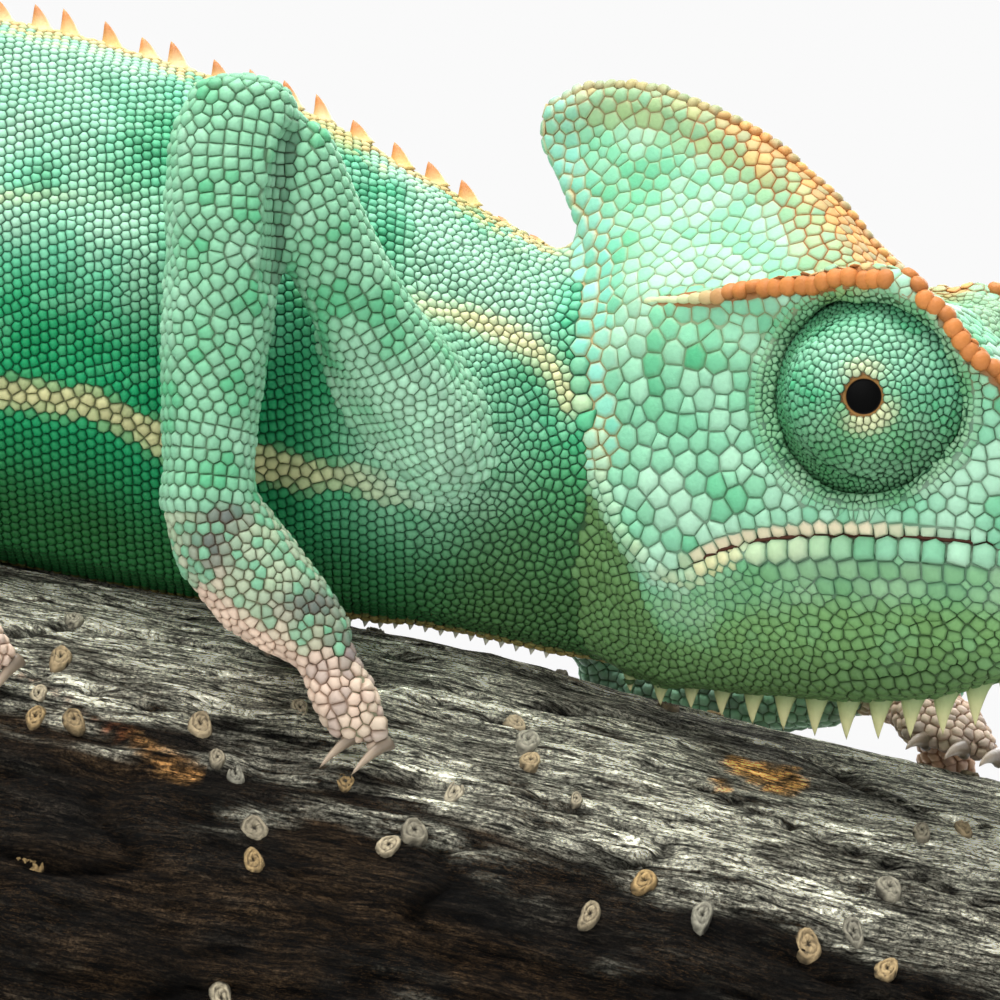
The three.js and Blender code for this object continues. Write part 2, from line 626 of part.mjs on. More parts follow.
function addLeg(name, leg, perchClear, trunkClear) {
  const [pair, side] = name.split('_');
  const fore = pair === 'fore';
  const upper = limb(leg.upper, leg.upperRadius, FACETS.limb);
  const upperClear = limb(leg.upper, leg.upperRadius, FACETS.limb, GAP);
  const lower = limb(leg.lower, leg.lowerRadius, FACETS.limb);
  const lowerClear = limb(leg.lower, leg.lowerRadius, FACETS.limb, GAP);
  const palm = limb(leg.palm, leg.palmRadius, FACETS.palm);
  const palmClear = limb(leg.palm, leg.palmRadius, FACETS.palm, GAP);
  const limbsClear = join([lowerClear, palmClear]);
  add(`${fore ? 'upper_arm' : 'thigh'}_${side}`, upper.subtract(trunkClear), 'limb');
  add(`${fore ? 'forearm' : 'shin'}_${side}`, lower.subtract(upperClear).subtract(trunkClear), 'limb');
  const palmCut = palm.subtract(lowerClear).subtract(perchClear).subtract(trunkClear);
  add(`${fore ? 'hand' : 'foot'}_${side}`, palmCut, 'foot');
  const bundles = ['outer', 'inner'].map((key) => [key, toesSolid(leg[key])]);
  const outerToes = bundles[0][1];
  for (const [key, toes] of bundles) {
    const clear = key === 'inner' ? toes.subtract(outerToes) : toes;
    const cut = clear.subtract(limbsClear).subtract(perchClear).subtract(trunkClear);
    add(`toes_${key}_${pair}_${side}`, cut, 'foot');
    clawSolids(leg[key]).forEach((claw, i) => {
      const bare = claw.subtract(toes).subtract(perchSolid(0.05));
      add(`claw_${key}_${i + 1}_${pair}_${side}`, bare, 'claw');
    });
  }
}

const perchClear = perchSolid(0.2);
const headClear = headCore(GAP);
const trunkClear = trunkSolid(GAP);
addHead();
addEyes();
addTrunk(perchClear, headClear);
for (const [name, leg] of Object.entries(LEGS)) addLeg(name, leg, perchClear, trunkClear);
add('perch', perchSolid(), 'bark');
add('stand_base', baseSolid(), 'stand');
add('stand_rod_front', rodSolid(ROD.frontX), 'rod');
add('stand_rod_rear', rodSolid(ROD.rearX), 'rod');

export default group;
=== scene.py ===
"""Veiled chameleon on a cut length of branch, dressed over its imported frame.

Lengths in the working arrays are millimetres; meshes are written in metres.
"""
import math
from functools import cache
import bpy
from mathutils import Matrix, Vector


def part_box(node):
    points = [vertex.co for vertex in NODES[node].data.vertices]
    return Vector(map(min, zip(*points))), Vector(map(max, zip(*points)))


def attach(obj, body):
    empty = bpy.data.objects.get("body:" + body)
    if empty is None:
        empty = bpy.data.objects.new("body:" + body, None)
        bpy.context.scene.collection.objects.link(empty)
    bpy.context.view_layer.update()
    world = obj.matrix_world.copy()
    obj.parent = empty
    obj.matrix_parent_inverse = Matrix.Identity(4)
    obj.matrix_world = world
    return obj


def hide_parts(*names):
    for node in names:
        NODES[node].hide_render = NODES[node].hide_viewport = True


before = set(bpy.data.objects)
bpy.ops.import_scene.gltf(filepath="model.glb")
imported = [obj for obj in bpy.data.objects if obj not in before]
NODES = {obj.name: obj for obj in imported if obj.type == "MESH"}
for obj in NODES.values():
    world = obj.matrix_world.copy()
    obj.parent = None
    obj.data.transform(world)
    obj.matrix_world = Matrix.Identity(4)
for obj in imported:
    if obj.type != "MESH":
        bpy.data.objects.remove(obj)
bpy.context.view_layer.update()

from types import SimpleNamespace

import bmesh
import bpy
import numpy as np
from bpy.props import FloatProperty, FloatVectorProperty, IntProperty, PointerProperty
from mathutils import Vector, noise
from mathutils.bvhtree import BVHTree
from mathutils.kdtree import KDTree

bl_info = {
    "name": "Veiled chameleon display model",
    "version": (1, 0, 0),
    "blender": (4, 5, 0),
    "location": "View3D > Sidebar > Chameleon",
    "description": "Builds a veiled chameleon with its scales, perch and stand",
    "category": "Add Mesh",
}

MM = 0.001
TURN = 2 * math.pi


def rgb(red, green, blue):
    """Linear colour of a shade given as it looks on paper, 0 to 255."""
    shade = np.array([red, green, blue]) / 255.0
    return np.where(shade <= 0.04045, shade / 12.92, ((shade + 0.055) / 1.055) ** 2.4)


# ---- settings --------------------------------------------------------------------------------
def length(name, default_mm, about):
    return FloatProperty(name=name, description=about, default=default_mm * MM,
                         unit="LENGTH", subtype="DISTANCE", precision=5)


def shade(name, red, green, blue, about):
    return FloatVectorProperty(name=name, description=about, subtype="COLOR", size=3,
                               min=0, max=1, default=tuple(rgb(red, green, blue)))


class SkinSettings(bpy.types.PropertyGroup):
    voxel: length("Voxel", 0.6, "Edge length of the skin's own mesh")
    swell: length("Swell", 0.24, "Growth of each solid, so that the cuts between them close")
    depth: length("Scale depth", 0.26, "How far the skin lies under the outer form")
    smoothing: IntProperty(name="Smoothing", description="Rounds of smoothing", default=50, min=0)
    melting: length("Joint softness", 4.6, "Reach of the soft change from limb to body")


class ScaleSettings(bpy.types.PropertyGroup):
    flank: length("Flank pitch", 0.7, "Spacing of the granules on the trunk")
    tail: length("Tail pitch", 0.84, "Spacing of the granules on the tail")
    limb: length("Limb pitch", 0.9, "Spacing of the scales on the arms and legs")
    hand: length("Hand pitch", 0.74, "Spacing of the scales on wrists, hands and feet")
    toe: length("Toe pitch", 0.8, "Spacing of the scales on the toes")
    neck: length("Neck pitch", 0.58, "Spacing of the granules on the neck")
    turret: length("Turret pitch", 0.54, "Spacing of the largest granules on the eye turrets")
    relax: IntProperty(name="Relaxing", description="Rounds of evening out", default=3, min=0)


class ColourSettings(bpy.types.PropertyGroup):
    mint: shade("Mint", 134, 202, 164, "Pale green of the upper flank and casque")
    pale: shade("Pale mint", 172, 214, 186, "Palest green of the cheek and nape")
    emerald: shade("Emerald", 12, 160, 100, "Bright green of the dark bands")
    deep: shade("Deep green", 2, 110, 58, "Darkest green of the flank")
    # Belly green is darker than the belly itself: it paints the shade on the underside.
    belly: shade("Belly green", 40, 98, 46, "Green of the belly")
    throat: shade("Throat green", 114, 158, 94, "Yellowish green of the throat")
    cream: shade("Cream", 232, 216, 162, "Cream of the flank stripe and lips")
    orange: shade("Orange", 206, 130, 68, "Orange of the brow and crest")
    yellow: shade("Yellow", 238, 200, 122, "Yellow of the back crest")
    aqua: shade("Aqua", 132, 208, 192, "Aqua of the casque's rear row")
    limb: shade("Limb green", 132, 192, 154, "Green of the arms and legs")
    sole: shade("Sole pink", 232, 206, 184, "Pinkish beige of the toes")
    bruise: shade("Wrist grey", 64, 66, 76, "Dark patches on wrist and hand")
    claw: shade("Claw", 142, 126, 108, "Grey horn of the claws")


class PerchSettings(bpy.types.PropertyGroup):
    radius: length("Radius", 26, "Radius of the branch")
    slope: FloatProperty(name="Slope", description="Fall of the branch towards the front",
                         default=math.radians(12.2), subtype="ANGLE", unit="ROTATION")
    axis: length("Axis height", 59, "Height of the branch's axis over the floor at the origin")
    rear: length("Rear end", -70, "Place of the rear end along X")
    front: length("Front end", 78, "Place of the front end along X")
    bow: length("Bow", 0.9, "Rise of the branch under the chest")
    # Dark and light bark are partly the bark's own tones, partly painted shade on the flanks and
    # painted light on top.
    dark: shade("Dark bark", 30, 26, 21, "Bark on the branch's flanks")
    light: shade("Light bark", 190, 187, 168, "Weathered grey bark on top")
    brown: shade("Brown bark", 92, 70, 46, "Brown blotches of the bark")
    tan: shade("Knot tan", 206, 176, 126, "Tan of the bark pores")
    wood: shade("Sawn wood", 196, 164, 118, "Wood of the sawn ends")


class StandSettings(bpy.types.PropertyGroup):
    bevel: length("Base bevel", 1.2, "Rounding of the base's top edge")
    wood: shade("Base wood", 70, 46, 32, "Stained wood of the base")
    metal: shade("Rod metal", 168, 170, 174, "Brushed steel of the rods")


class StageSettings(bpy.types.PropertyGroup):
    camera: FloatVectorProperty(name="Camera", description="Place of the camera", size=3,
                                subtype="TRANSLATION", unit="LENGTH",
                                default=(0.03472, -0.360, 0.09028))
    frame_width: length("Frame width", 69.444, "Width seen at the animal's middle plane")
    lamp_watts: FloatProperty(name="Lamp power", description="Power of the overhead lamp",
                              default=5.8, unit="POWER", min=0)
    floor: shade("Floor", 226, 226, 224, "Colour of the floor")


# ---- small helpers ---------------------------------------------------------------------------
def settings(name):
    return getattr(bpy.context.scene, "chameleon_" + name)


def clamp01(value):
    return np.clip(value, 0.0, 1.0)


def step(value, low, high):
    """Soft rise from 0 at low to 1 at high."""
    t = clamp01((value - low) / (high - low))
    return t * t * (3 - 2 * t)


def blend(first, second, share):
    """Mix of two colours, or of two lists of them."""
    return first + (second - first) * np.asarray(share)[..., None]


def hill(value, width, power=2):
    """Soft bump: 1 where the value is 0, near 0 beyond the width."""
    return np.exp(-(value / width) ** power)


def turns(count):
    """Even angles round a full turn."""
    return np.arange(count) / count * TURN


def unit(vectors):
    return vectors / np.maximum(np.linalg.norm(vectors, axis=-1, keepdims=True), 1e-12)


def field(points, size, seed=0.0, octaves=1):
    """Smooth noise, about -1 to 1, with features of the given size in mm."""
    total = np.zeros(len(points))
    gain = 1.0
    for octave in range(octaves):
        shift = Vector((seed * 7.3 + octave * 3.1, seed * 3.7, -seed * 5.9))
        scale = 2.0 ** octave / size
        total += gain * np.array([noise.noise(Vector(p) * scale + shift) for p in points])
        gain *= 0.5
    return total


def line_distance(points, line):
    """Distance of each point to a chain of points, and how far along the chain that is."""
    line = np.asarray(line, float)
    best = np.full(len(points), 1e9)
    place = np.zeros(len(points))
    run = 0.0
    for start, end in zip(line[:-1], line[1:]):
        leg = end - start
        size = np.linalg.norm(leg)
        t = clamp01((points - start) @ leg / size ** 2)
        gap = np.linalg.norm(points - (start + t[:, None] * leg), axis=1)
        nearer = gap < best
        best[nearer] = gap[nearer]
        place[nearer] = run + t[nearer] * size
        run += size
    return best, place


def run_lengths(line):
    """How far along a chain of points each of them lies."""
    return np.concatenate([[0], np.cumsum(np.linalg.norm(np.diff(line, axis=0), axis=1))])


def between(line, runs, at):
    """Places on a chain of points, by how far along it they lie."""
    return np.stack([np.interp(at, runs, column) for column in line.T], axis=-1)


def along_line(line, pitch, start=0.0):
    """Points at an even pitch along a chain of points."""
    line = np.asarray(line, float)
    runs = run_lengths(line)
    return between(line, runs, np.arange(start, runs[-1], pitch))


def curve_through(line, count):
    """Smooth chain through a few points (Catmull-Rom)."""
    line = np.asarray(line, float)
    padded = np.vstack([2 * line[0] - line[1], line, 2 * line[-1] - line[-2]])
    out = []
    for t in np.linspace(0, len(line) - 1 - 1e-9, count):
        i = int(t)
        f = t - i
        a, b, c, d = padded[i:i + 4]
        out.append(0.5 * (2 * b + (c - a) * f + (2 * a - 5 * b + 4 * c - d) * f ** 2
                          + (3 * b - a - 3 * c + d) * f ** 3))
    return np.array(out)


def height_on(line, x):
    """Height of a chain of (x, z) points over each x."""
    return np.interp(x, *zip(*line))


def tube_quads(around, rings, base=0, flip=False):
    """Four-cornered faces between rings of corners that close on themselves."""
    ring = np.arange(around)
    after = (ring + 1) % around
    low = base + np.arange(rings - 1)[:, None] * around
    corners = [ring + low, after + low, after + low + around, ring + low + around]
    if flip:
        corners = [corners[k] for k in (0, 3, 2, 1)]
    return np.stack(corners, -1).reshape(-1, 4)


def fan(around, start, apex, flip=False):
    """Triangles from one ring of corners to a single corner."""
    ring = np.arange(around)
    after = (ring + 1) % around
    corners = [ring + start, after + start, np.full(around, apex)]
    return np.stack(corners[::-1] if flip else corners, 1)


def merged(parts):
    """Joins several sets of corners, lists of faces and further columns into one set."""
    base = np.cumsum([0] + [len(part[0]) for part in parts])
    faces = [face + first for part, first in zip(parts, base) for face in part[1]]
    verts, _, *columns = zip(*parts)
    return np.vstack(verts), faces, *(np.vstack(column) for column in columns)


def point_tree(points):
    """Search tree of points, with their numbers."""
    tree = KDTree(len(points))
    for i, p in enumerate(points.tolist()):
        tree.insert(p, i)
    tree.balance()
    return tree


def neighbour_sum(values, edges):
    """Sum of the values at the corners that edges join to each corner."""
    if values.ndim > 1:
        return np.column_stack([neighbour_sum(column, edges) for column in values.T])
    first, second = edges.T
    return (np.bincount(first, values[second], len(values))
            + np.bincount(second, values[first], len(values)))


def new_object(name, data):
    piece = bpy.data.objects.new(name, data)
    bpy.context.scene.collection.objects.link(piece)
    return piece


def new_mesh(name, verts, faces, colours=None, uvs=None, uv_name="OFBake"):
    """Object from arrays in mm; faces is a list of index arrays, one for each corner count."""
    mesh = bpy.data.meshes.new(name)
    corners = np.concatenate([f.ravel() for f in faces]).astype(np.int32)
    counts = np.concatenate([np.full(len(f), f.shape[1]) for f in faces])
    mesh.vertices.add(len(verts))
    mesh.vertices.foreach_set("co", (np.asarray(verts) * MM).astype(np.float32).ravel())
    mesh.loops.add(len(corners))
    mesh.loops.foreach_set("vertex_index", corners)
    mesh.polygons.add(len(counts))
    starts = np.concatenate([[0], np.cumsum(counts)[:-1]]).astype(np.int32)
    mesh.polygons.foreach_set("loop_start", starts)
    mesh.polygons.foreach_set("use_smooth", np.ones(len(counts), bool))
    mesh.update(calc_edges=True)
    if colours is not None:
        paint(mesh, colours)
    if uvs is not None:
        layer = mesh.uv_layers.new(name=uv_name)
        layer.data.foreach_set("uv", uvs[corners].astype(np.float32).ravel())
    return new_object(name, mesh)


def rows_of(items, key, width, kind=float):
    """One property of all elements of a mesh, as rows of the given width."""
    out = np.empty(len(items) * width, kind)
    items.foreach_get(key, out)
    return out.reshape(-1, width)


def paint(mesh, colours):
    layer = mesh.color_attributes.new(name="Marking", type="FLOAT_COLOR", domain="POINT")
    full = np.ones((len(colours), 4), np.float32)
    full[:, :3] = clamp01(colours)
    layer.data.foreach_set("color", full.ravel())


def pick_only(piece):
    bpy.ops.object.select_all(action="DESELECT")
    piece.select_set(True)
    bpy.context.view_layer.objects.active = piece


def edit_all(piece, operator, **options):
    """Runs an operator of edit mode on the whole mesh of a piece."""
    pick_only(piece)
    bpy.ops.object.mode_set(mode="EDIT")
    bpy.ops.mesh.select_all(action="SELECT")
    operator(**options)
    bpy.ops.object.mode_set(mode="OBJECT")


def face_outward(piece):
    """Turns all faces of a closed piece outwards."""
    edit_all(piece, bpy.ops.mesh.normals_make_consistent, inside=False)


def modify(piece, kind, **values):
    """Adds a modifier to a piece and applies it."""
    pick_only(piece)
    bpy.ops.object.modifier_add(type=kind)
    modifier = piece.modifiers[-1]
    for key, value in values.items():
        setattr(modifier, key, value)
    bpy.ops.object.modifier_apply(modifier=modifier.name)


def finish_piece(piece, material, slot_name, *nodes):
    """Gives a piece its material and its ride, and hides the nodes it stands for; its slot name is
    not used.
    """
    piece.data.materials.clear()
    piece.data.materials.append(material)
    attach(piece, "root")
    if nodes:
        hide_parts(*nodes)
    return piece


def tree_of(verts, faces):
    return BVHTree.FromPolygons(verts.tolist(), faces.tolist())


# ---- the head's own frame --------------------------------------------------------------------
HEAD_PIVOT = 40.0
HEAD_MIDDLE = 94.0
HEAD_YAW = math.radians(-27)
HEAD_ROLL = math.radians(-2)
MOUTH = [[11.6, 85.2], [12.4, 85.6], [14.6, 86.6], [17.6, 87.3], [22, 87.7], [28, 87.6], [35, 87.1],
         [46, 88.2]]
BROW = [[8, 6.6, 103.2], [14, 7.9, 103.6], [19.4, 8.7, 104.0], [24, 9.1, 104.5], [27.4, 9.1, 104.4],
        [30.2, 8.9, 102.8], [32.6, 8.2, 99.8], [35.6, 7, 96.6], [38.8, 5.2, 94.0], [41, 3.4, 92.2]]
CREST = [[27, 103.2], [25.8, 104.2], [21.4, 108.6], [17.4, 113], [12.6, 116], [7.4, 118.6],
         [2.6, 119.6], [-1.4, 118.5]]
NAPE = [[-1.8, 118], [-1.4, 114], [0.2, 110.4], [2.4, 108], [3.3, 105.6], [3.7, 103], [3.5, 100.6],
        [3.7, 98.2], [4.1, 96], [5.0, 94]]
CHEEK_EDGE = [[12.4, 85.3], [11.1, 84.8], [8.7, 86.3], [6.8, 88.7], [5.7, 91.6], [5.2, 94.6]]
THROAT_FOLDS = [[[21, 78.3], [25, 79.2], [29.3, 80.0], [33.4, 81.0]],
                [[24, 77.9], [28.5, 78.6], [33, 79.4]],
                [[23, 80.9], [28, 81.5], [33, 82.4]]]
ELBOW_FOLD = [[19.9, 104.6], [20.3, 108.5], [20.6, 111.5], [21.0, 114.2]]
EYE_LOCAL = np.array([25.1, 6.6, 96.9])
EYE_RADIUS = 6.2
LOOKS = {-1: unit(np.array([-0.19, -1, -0.02])), 1: unit(np.array([0.75, 0.62, 0.05]))}
SIDES = {-1: "right", 1: "left"}


def head_to_world(local):
    local = np.asarray(local, float)
    x, y, z = local[..., 0], local[..., 1], local[..., 2] - HEAD_MIDDLE
    side = y * math.cos(HEAD_ROLL) - z * math.sin(HEAD_ROLL)
    up = y * math.sin(HEAD_ROLL) + z * math.cos(HEAD_ROLL)
    return np.stack([x * math.cos(HEAD_YAW) - side * math.sin(HEAD_YAW) + HEAD_PIVOT,
                     x * math.sin(HEAD_YAW) + side * math.cos(HEAD_YAW), up + HEAD_MIDDLE], -1)


def world_to_head(world):
    x, y, z = world[..., 0] - HEAD_PIVOT, world[..., 1], world[..., 2] - HEAD_MIDDLE
    forward = x * math.cos(HEAD_YAW) + y * math.sin(HEAD_YAW)
    side = -x * math.sin(HEAD_YAW) + y * math.cos(HEAD_YAW)
    return np.stack([forward, side * math.cos(HEAD_ROLL) + z * math.sin(HEAD_ROLL),
                     -side * math.sin(HEAD_ROLL) + z * math.cos(HEAD_ROLL) + HEAD_MIDDLE], -1)


def mirrored(local):
    """Both halves of the head laid on its left side."""
    return np.column_stack([local[:, 0], np.abs(local[:, 1]), local[:, 2]])


def eye_centre(side):
    return head_to_world(EYE_LOCAL * np.array([1, side, 1]))


def look_axes(side):
    """The way an eye looks, and its upright and its crosswise direction."""
    look = LOOKS[side]
    up = unit(np.array([0, 0, 1.0]) - look * look[2])
    return look, up, np.cross(look, up)


# ---- zones of the flesh ----------------------------------------------------------------------
def zone_of(name):
    """Zone of the body that a node belongs to, or nothing."""
    if name in ("casque", "head_upper", "lower_jaw"):
        return "head"
    if name == "neck":
        return "neck"
    if name.startswith("trunk"):
        return "trunk"
    if name.startswith("tail"):
        return "tail"
    if name.startswith(("upper_arm", "forearm", "thigh", "shin")):
        return "limb"
    if name.startswith(("hand", "foot", "toes")):
        return "foot"
    return ""


FLESH = sorted(name for name in NODES if zone_of(name))
ZONES = ["head", "neck", "trunk", "tail", "limb", "foot", "turret"]
HEIGHTS = {"head": 0.2, "neck": 0.28, "trunk": 0.3, "tail": 0.28, "limb": 0.27, "foot": 0.28,
           "turret": 0.24}
# middle of the tail's coil, x and z
COIL = (-91.0, 81.0)
SPINED = ("trunk_front", "trunk_rear", "neck", "tail_1", "lower_jaw")
SURFACE = {}


def in_zones(owner, *zones):
    """Which of the given numbers of flesh nodes lie in any of the zones."""
    return np.array([zone_of(name) in zones for name in FLESH])[owner]


def node_arrays(name):
    """Corners (mm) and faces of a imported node: doubles merged, crest spines laid flat."""
    shape = bmesh.new()
    shape.from_mesh(NODES[name].data)
    bmesh.ops.remove_doubles(shape, verts=shape.verts, dist=1e-6)
    shape.normal_update()
    if name in SPINED:
        places = np.array([v.co[:] for v in shape.verts]) / MM
        across = (world_to_head(places) if name == "lower_jaw" else places)[:, 1]
        for vert, off in zip(shape.verts, across):
            facing = [face.normal.dot(vert.normal) for face in vert.link_faces]
            if abs(off) < 0.4 and sum(facing) / len(facing) < 0.66:
                ring = [edge.other_vert(vert).co for edge in vert.link_edges]
                vert.co = sum(ring, Vector()) / len(ring)
        shape.normal_update()
    verts = np.array([v.co[:] for v in shape.verts]) / MM
    normals = np.array([v.normal[:] for v in shape.verts])
    faces = [[v.index for v in f.verts] for f in shape.faces]
    shape.free()
    return verts, normals, faces


def joined_flesh(swell):
    """All flesh solids in one mesh, each grown a little, and the node of each face."""
    verts, faces, owners = [], [], []
    total = 0
    for number, name in enumerate(FLESH):
        points, normals, polygons = node_arrays(name)
        verts.append(points + normals * swell)
        faces += [[i + total for i in f] for f in polygons]
        owners += [number] * len(polygons)
        total += len(points)
    return np.vstack(verts), faces, np.array(owners)


def vertex_normals(verts, quads):
    """Normals at the corners, weighted by the faces' areas."""
    a, b = verts[quads[:, 2]] - verts[quads[:, 0]], verts[quads[:, 3]] - verts[quads[:, 1]]
    flat = np.cross(a, b)
    out = np.zeros_like(verts)
    for k in range(4):
        np.add.at(out, quads[:, k], flat)
    return unit(out)


def smooth_mesh(verts, edges, rounds):
    """Evens out facets without shrinking the form (alternate smoothing in and out)."""
    degree = np.bincount(edges.ravel(), minlength=len(verts))[:, None]
    for number in range(rounds):
        share = 0.55 if number % 2 == 0 else -0.5625
        verts = verts + share * (neighbour_sum(verts, edges) / degree - verts)
    return verts


def melt_joints(verts, edges, group, reach, rounds):
    """Softens the creases where one group of solids runs into another."""
    crossing = group[edges[:, 0]] != group[edges[:, 1]]
    tree = point_tree(verts[np.unique(edges[crossing])])
    gap = np.array([tree.find(p)[2] for p in verts.tolist()])
    share = 0.6 * np.exp(-(gap / reach) ** 2)[:, None]
    degree = np.bincount(edges.ravel(), minlength=len(verts))[:, None]
    for _ in range(rounds):
        verts = verts + share * (neighbour_sum(verts, edges) / degree - verts)
    return verts


def refill(verts, quads, edges, target):
    """Puts back the thickness that smoothing takes from slim parts, up to the flesh's surface."""
    source, polygons, _ = joined_flesh(0.0)
    solids = BVHTree.FromPolygons(source.tolist(), polygons)
    lack = np.zeros(len(verts))
    for i, p in enumerate(verts.tolist()):
        spot, way, *_ = solids.find_nearest(p)
        lack[i] = target - (Vector(p) - spot).dot(way)
    lack = np.clip(lack, 0, 1.2)
    degree = np.bincount(edges.ravel(), minlength=len(verts))
    for _ in range(14):
        lack = 0.4 * lack + 0.6 * neighbour_sum(lack, edges) / degree
    return verts + vertex_normals(verts, quads) * lack[:, None]


def head_strokes(verts, is_head):
    """Height of the ridges, folds and grooves that the skin of the head carries."""
    side = mirrored(world_to_head(verts))
    flat = side[:, [0, 2]]
    x, out, z = side.T
    lift = np.zeros(len(verts))

    gap, _ = line_distance(side, curve_through(BROW, 40))
    lift += 0.75 * hill(gap, 0.7)
    gap, _ = line_distance(flat, MOUTH)
    beside = step(out, 0.5, 2.5) + step(x, 40, 42)
    lift -= 0.6 * hill(gap, 0.34) * clamp01(beside)
    above = z - height_on(MOUTH, x)
    lip = step(x, 13, 17) * clamp01(beside)
    lift += 0.3 * lip * hill(above + 1.1, 0.9)
    lift += 0.1 * lip * hill(above - 0.7, 0.6)
    gap, _ = line_distance(flat, curve_through(CHEEK_EDGE, 20))
    lift += 0.35 * hill(gap, 1.0) * step(out, 2, 4)
    gap, _ = line_distance(flat, curve_through(np.array(CHEEK_EDGE) + [-1.7, -1.1], 20))
    lift -= 0.4 * hill(gap, 0.9) * step(out, 2, 4)
    for fold in THROAT_FOLDS:
        gap, _ = line_distance(flat, curve_through(fold, 16))
        lift -= 0.3 * hill(gap, 0.34) * step(out, 1, 2)
    gap, _ = line_distance(flat, CREST)
    lift += 0.35 * hill(gap - 1.2, 1.1)
    lift -= 0.7 * spots(flat, [(11, 108.5, 5.5, 3.2)])
    reach = np.linalg.norm(side - EYE_LOCAL, axis=1)
    for ring, wide, high in ((7.75, 0.35, 0.25), (7.3, 0.2, -0.3), (8.25, 0.25, -0.2)):
        lift += high * hill(reach - ring, wide)
    nostril = np.linalg.norm(side - np.array([40.2, 3.6, 91.0]), axis=1)
    lift -= 0.7 * hill(nostril, 0.55)
    lift += 0.12 * field(verts, 3.0, 71)
    return lift * is_head


def limb_shape(verts, normals, limbs):
    """Fuller wrist and elbow, the fold inside the elbow and the cleft between the near toes."""
    x, y, z = verts.T
    near = limbs * step(-y, 8, 11)
    lower = near * step(-x, -26, -23)
    lift = lower * (0.3 * step(z, 84, 88) * step(-z, -114, -108)
                    + 0.85 * hill(z - 90, 2.5))
    facing = near * clamp01(-1.6 * normals[:, 1])
    flat = verts[:, [0, 2]]
    gap, _ = line_distance(flat, ELBOW_FOLD)
    lift -= 1.35 * facing * hill(gap, 0.6)
    gap, _ = line_distance(flat, [[25.1, 78.6], [26.1, 74.0]])
    lift -= 0.6 * facing * hill(gap, 0.42)
    wide = np.tanh((x - 18.4) / 2.0)
    shift = np.where(wide < 0, 1.25 * step(z, 106, 115), 0.7 * step(z, 109, 115))
    return normals * lift[:, None] + np.column_stack([near * wide * shift, 0 * x, 0 * x])


def coil_angles(flat):
    """Angles round the tail's coil, counted from the end of the widest empty stretch."""
    around = np.arctan2(flat[:, 0], flat[:, 1])
    angle = np.sort(around)
    gaps = np.diff(np.concatenate([angle, angle[:1] + TURN]))
    start = angle[(gaps.argmax() + 1) % len(angle)] if gaps.max() > 0.35 else angle[0]
    return (around - start) % TURN


def round_coil(verts, owners):
    """Lays the centres of each inner length of tail on one smooth curve."""
    moved = verts.copy()
    for name in ("tail_3", "tail_4", "tail_5"):
        own = owners == FLESH.index(name)
        flat = verts[own][:, [0, 2]] - COIL
        turned, reach = coil_angles(flat), np.linalg.norm(flat, axis=1)
        bins = np.linspace(0, turned.max() + 1e-6, 31)
        which = np.digitize(turned, bins[1:-1])
        count = np.bincount(which, minlength=30)
        mean = (np.bincount(which, reach, 30) / np.maximum(count, 1))[count > 0]
        middles = ((bins[1:] + bins[:-1]) / 2)[count > 0]
        smooth = np.polyval(np.polyfit(middles, mean, 4), turned)
        shift = (smooth - np.interp(turned, middles, mean)) / reach
        shift *= step(turned, 0, 0.15) * step(turned.max() - turned, 0, 0.15)
        moved[np.ix_(own, [0, 2])] += flat * shift[:, None]
    return moved


class CHAMELEON_OT_skin(bpy.types.Operator):
    """Makes one seamless skin from the flesh solids and sets it in by the scales' depth"""
    bl_idname = "chameleon.skin"
    bl_label = "Skin"

    def execute(self, context):
        own = settings("skin")
        verts, faces, owners = joined_flesh(own.swell / MM)
        mesh = bpy.data.meshes.new("skin")
        mesh.from_pydata((verts * MM).tolist(), [], faces)
        skin = new_object("skin", mesh)
        modify(skin, "REMESH", mode="VOXEL", voxel_size=own.voxel)
        mesh = skin.data
        verts = rows_of(mesh.vertices, "co", 3) / MM
        edges = rows_of(mesh.edges, "vertices", 2, np.int32)
        quads = np.array([p.vertices[:] for p in mesh.polygons])
        verts = smooth_mesh(verts, edges, own.smoothing)

        source, polygons, owners = joined_flesh(0.0)
        solids = BVHTree.FromPolygons(source.tolist(), polygons)
        owner = np.array([owners[solids.find_nearest(p)[2]] for p in verts.tolist()])
        zone = np.array([ZONES.index(zone_of(FLESH[i])) for i in owner])
        is_head = zone == ZONES.index("head")
        limbs = np.isin(zone, [ZONES.index("limb"), ZONES.index("foot")])
        verts = melt_joints(verts, edges, limbs.astype(int), own.melting / MM, 130)
        verts = melt_joints(verts, edges, is_head.astype(int), 0.9, 20)
        verts = refill(verts, quads, edges, own.swell / MM)
        local = world_to_head(verts)
        back = 1.0 * step(local[:, 2], 108, 117) * step(-local[:, 0], -8, 0.5) * is_head
        verts = verts - back[:, None] * (head_to_world([1, 0, 0]) - head_to_world([0, 0, 0]))
        verts = verts + limb_shape(verts, vertex_normals(verts, quads), limbs)
        verts = round_coil(verts, owner)
        normals = vertex_normals(verts, quads)
        verts = verts + normals * (-own.swell / MM - own.depth / MM
                                   + head_strokes(verts, is_head))[:, None]
        normals = vertex_normals(verts, quads)
        mesh.vertices.foreach_set("co", (verts * MM).ravel())
        mesh.polygons.foreach_set("use_smooth", np.ones(len(quads), bool))
        mesh.update()
        SURFACE.update(verts=verts, quads=quads, normals=normals, owner=owner, zone=zone,
                       tree=tree_of(verts, quads))
        # The skin between the scales takes the groove colour, 15% darker still: partly its own
        # colour, partly painted shade in the grooves.
        _, groove = marking(verts, zone, np.full(len(verts), 0.5))
        paint(mesh, groove * 0.85)
        finish_piece(skin, skin_material(), "flesh", *FLESH)
        return {"FINISHED"}


# ---- markings --------------------------------------------------------------------------------
STRIPE = [[-74, 106.5], [-62, 107.2], [-48, 106.2], [-33, 103.6], [-16, 101], [0, 97.9], [7, 96.6],
          [11, 94.6], [20, 92.3], [27, 91], [31, 90.2]]
NECK_BAND = [[22, 104.4], [27, 103.6], [31, 102.9], [34.4, 101.9], [37, 100.6], [38.6, 98.8],
             [39.4, 96.8]]


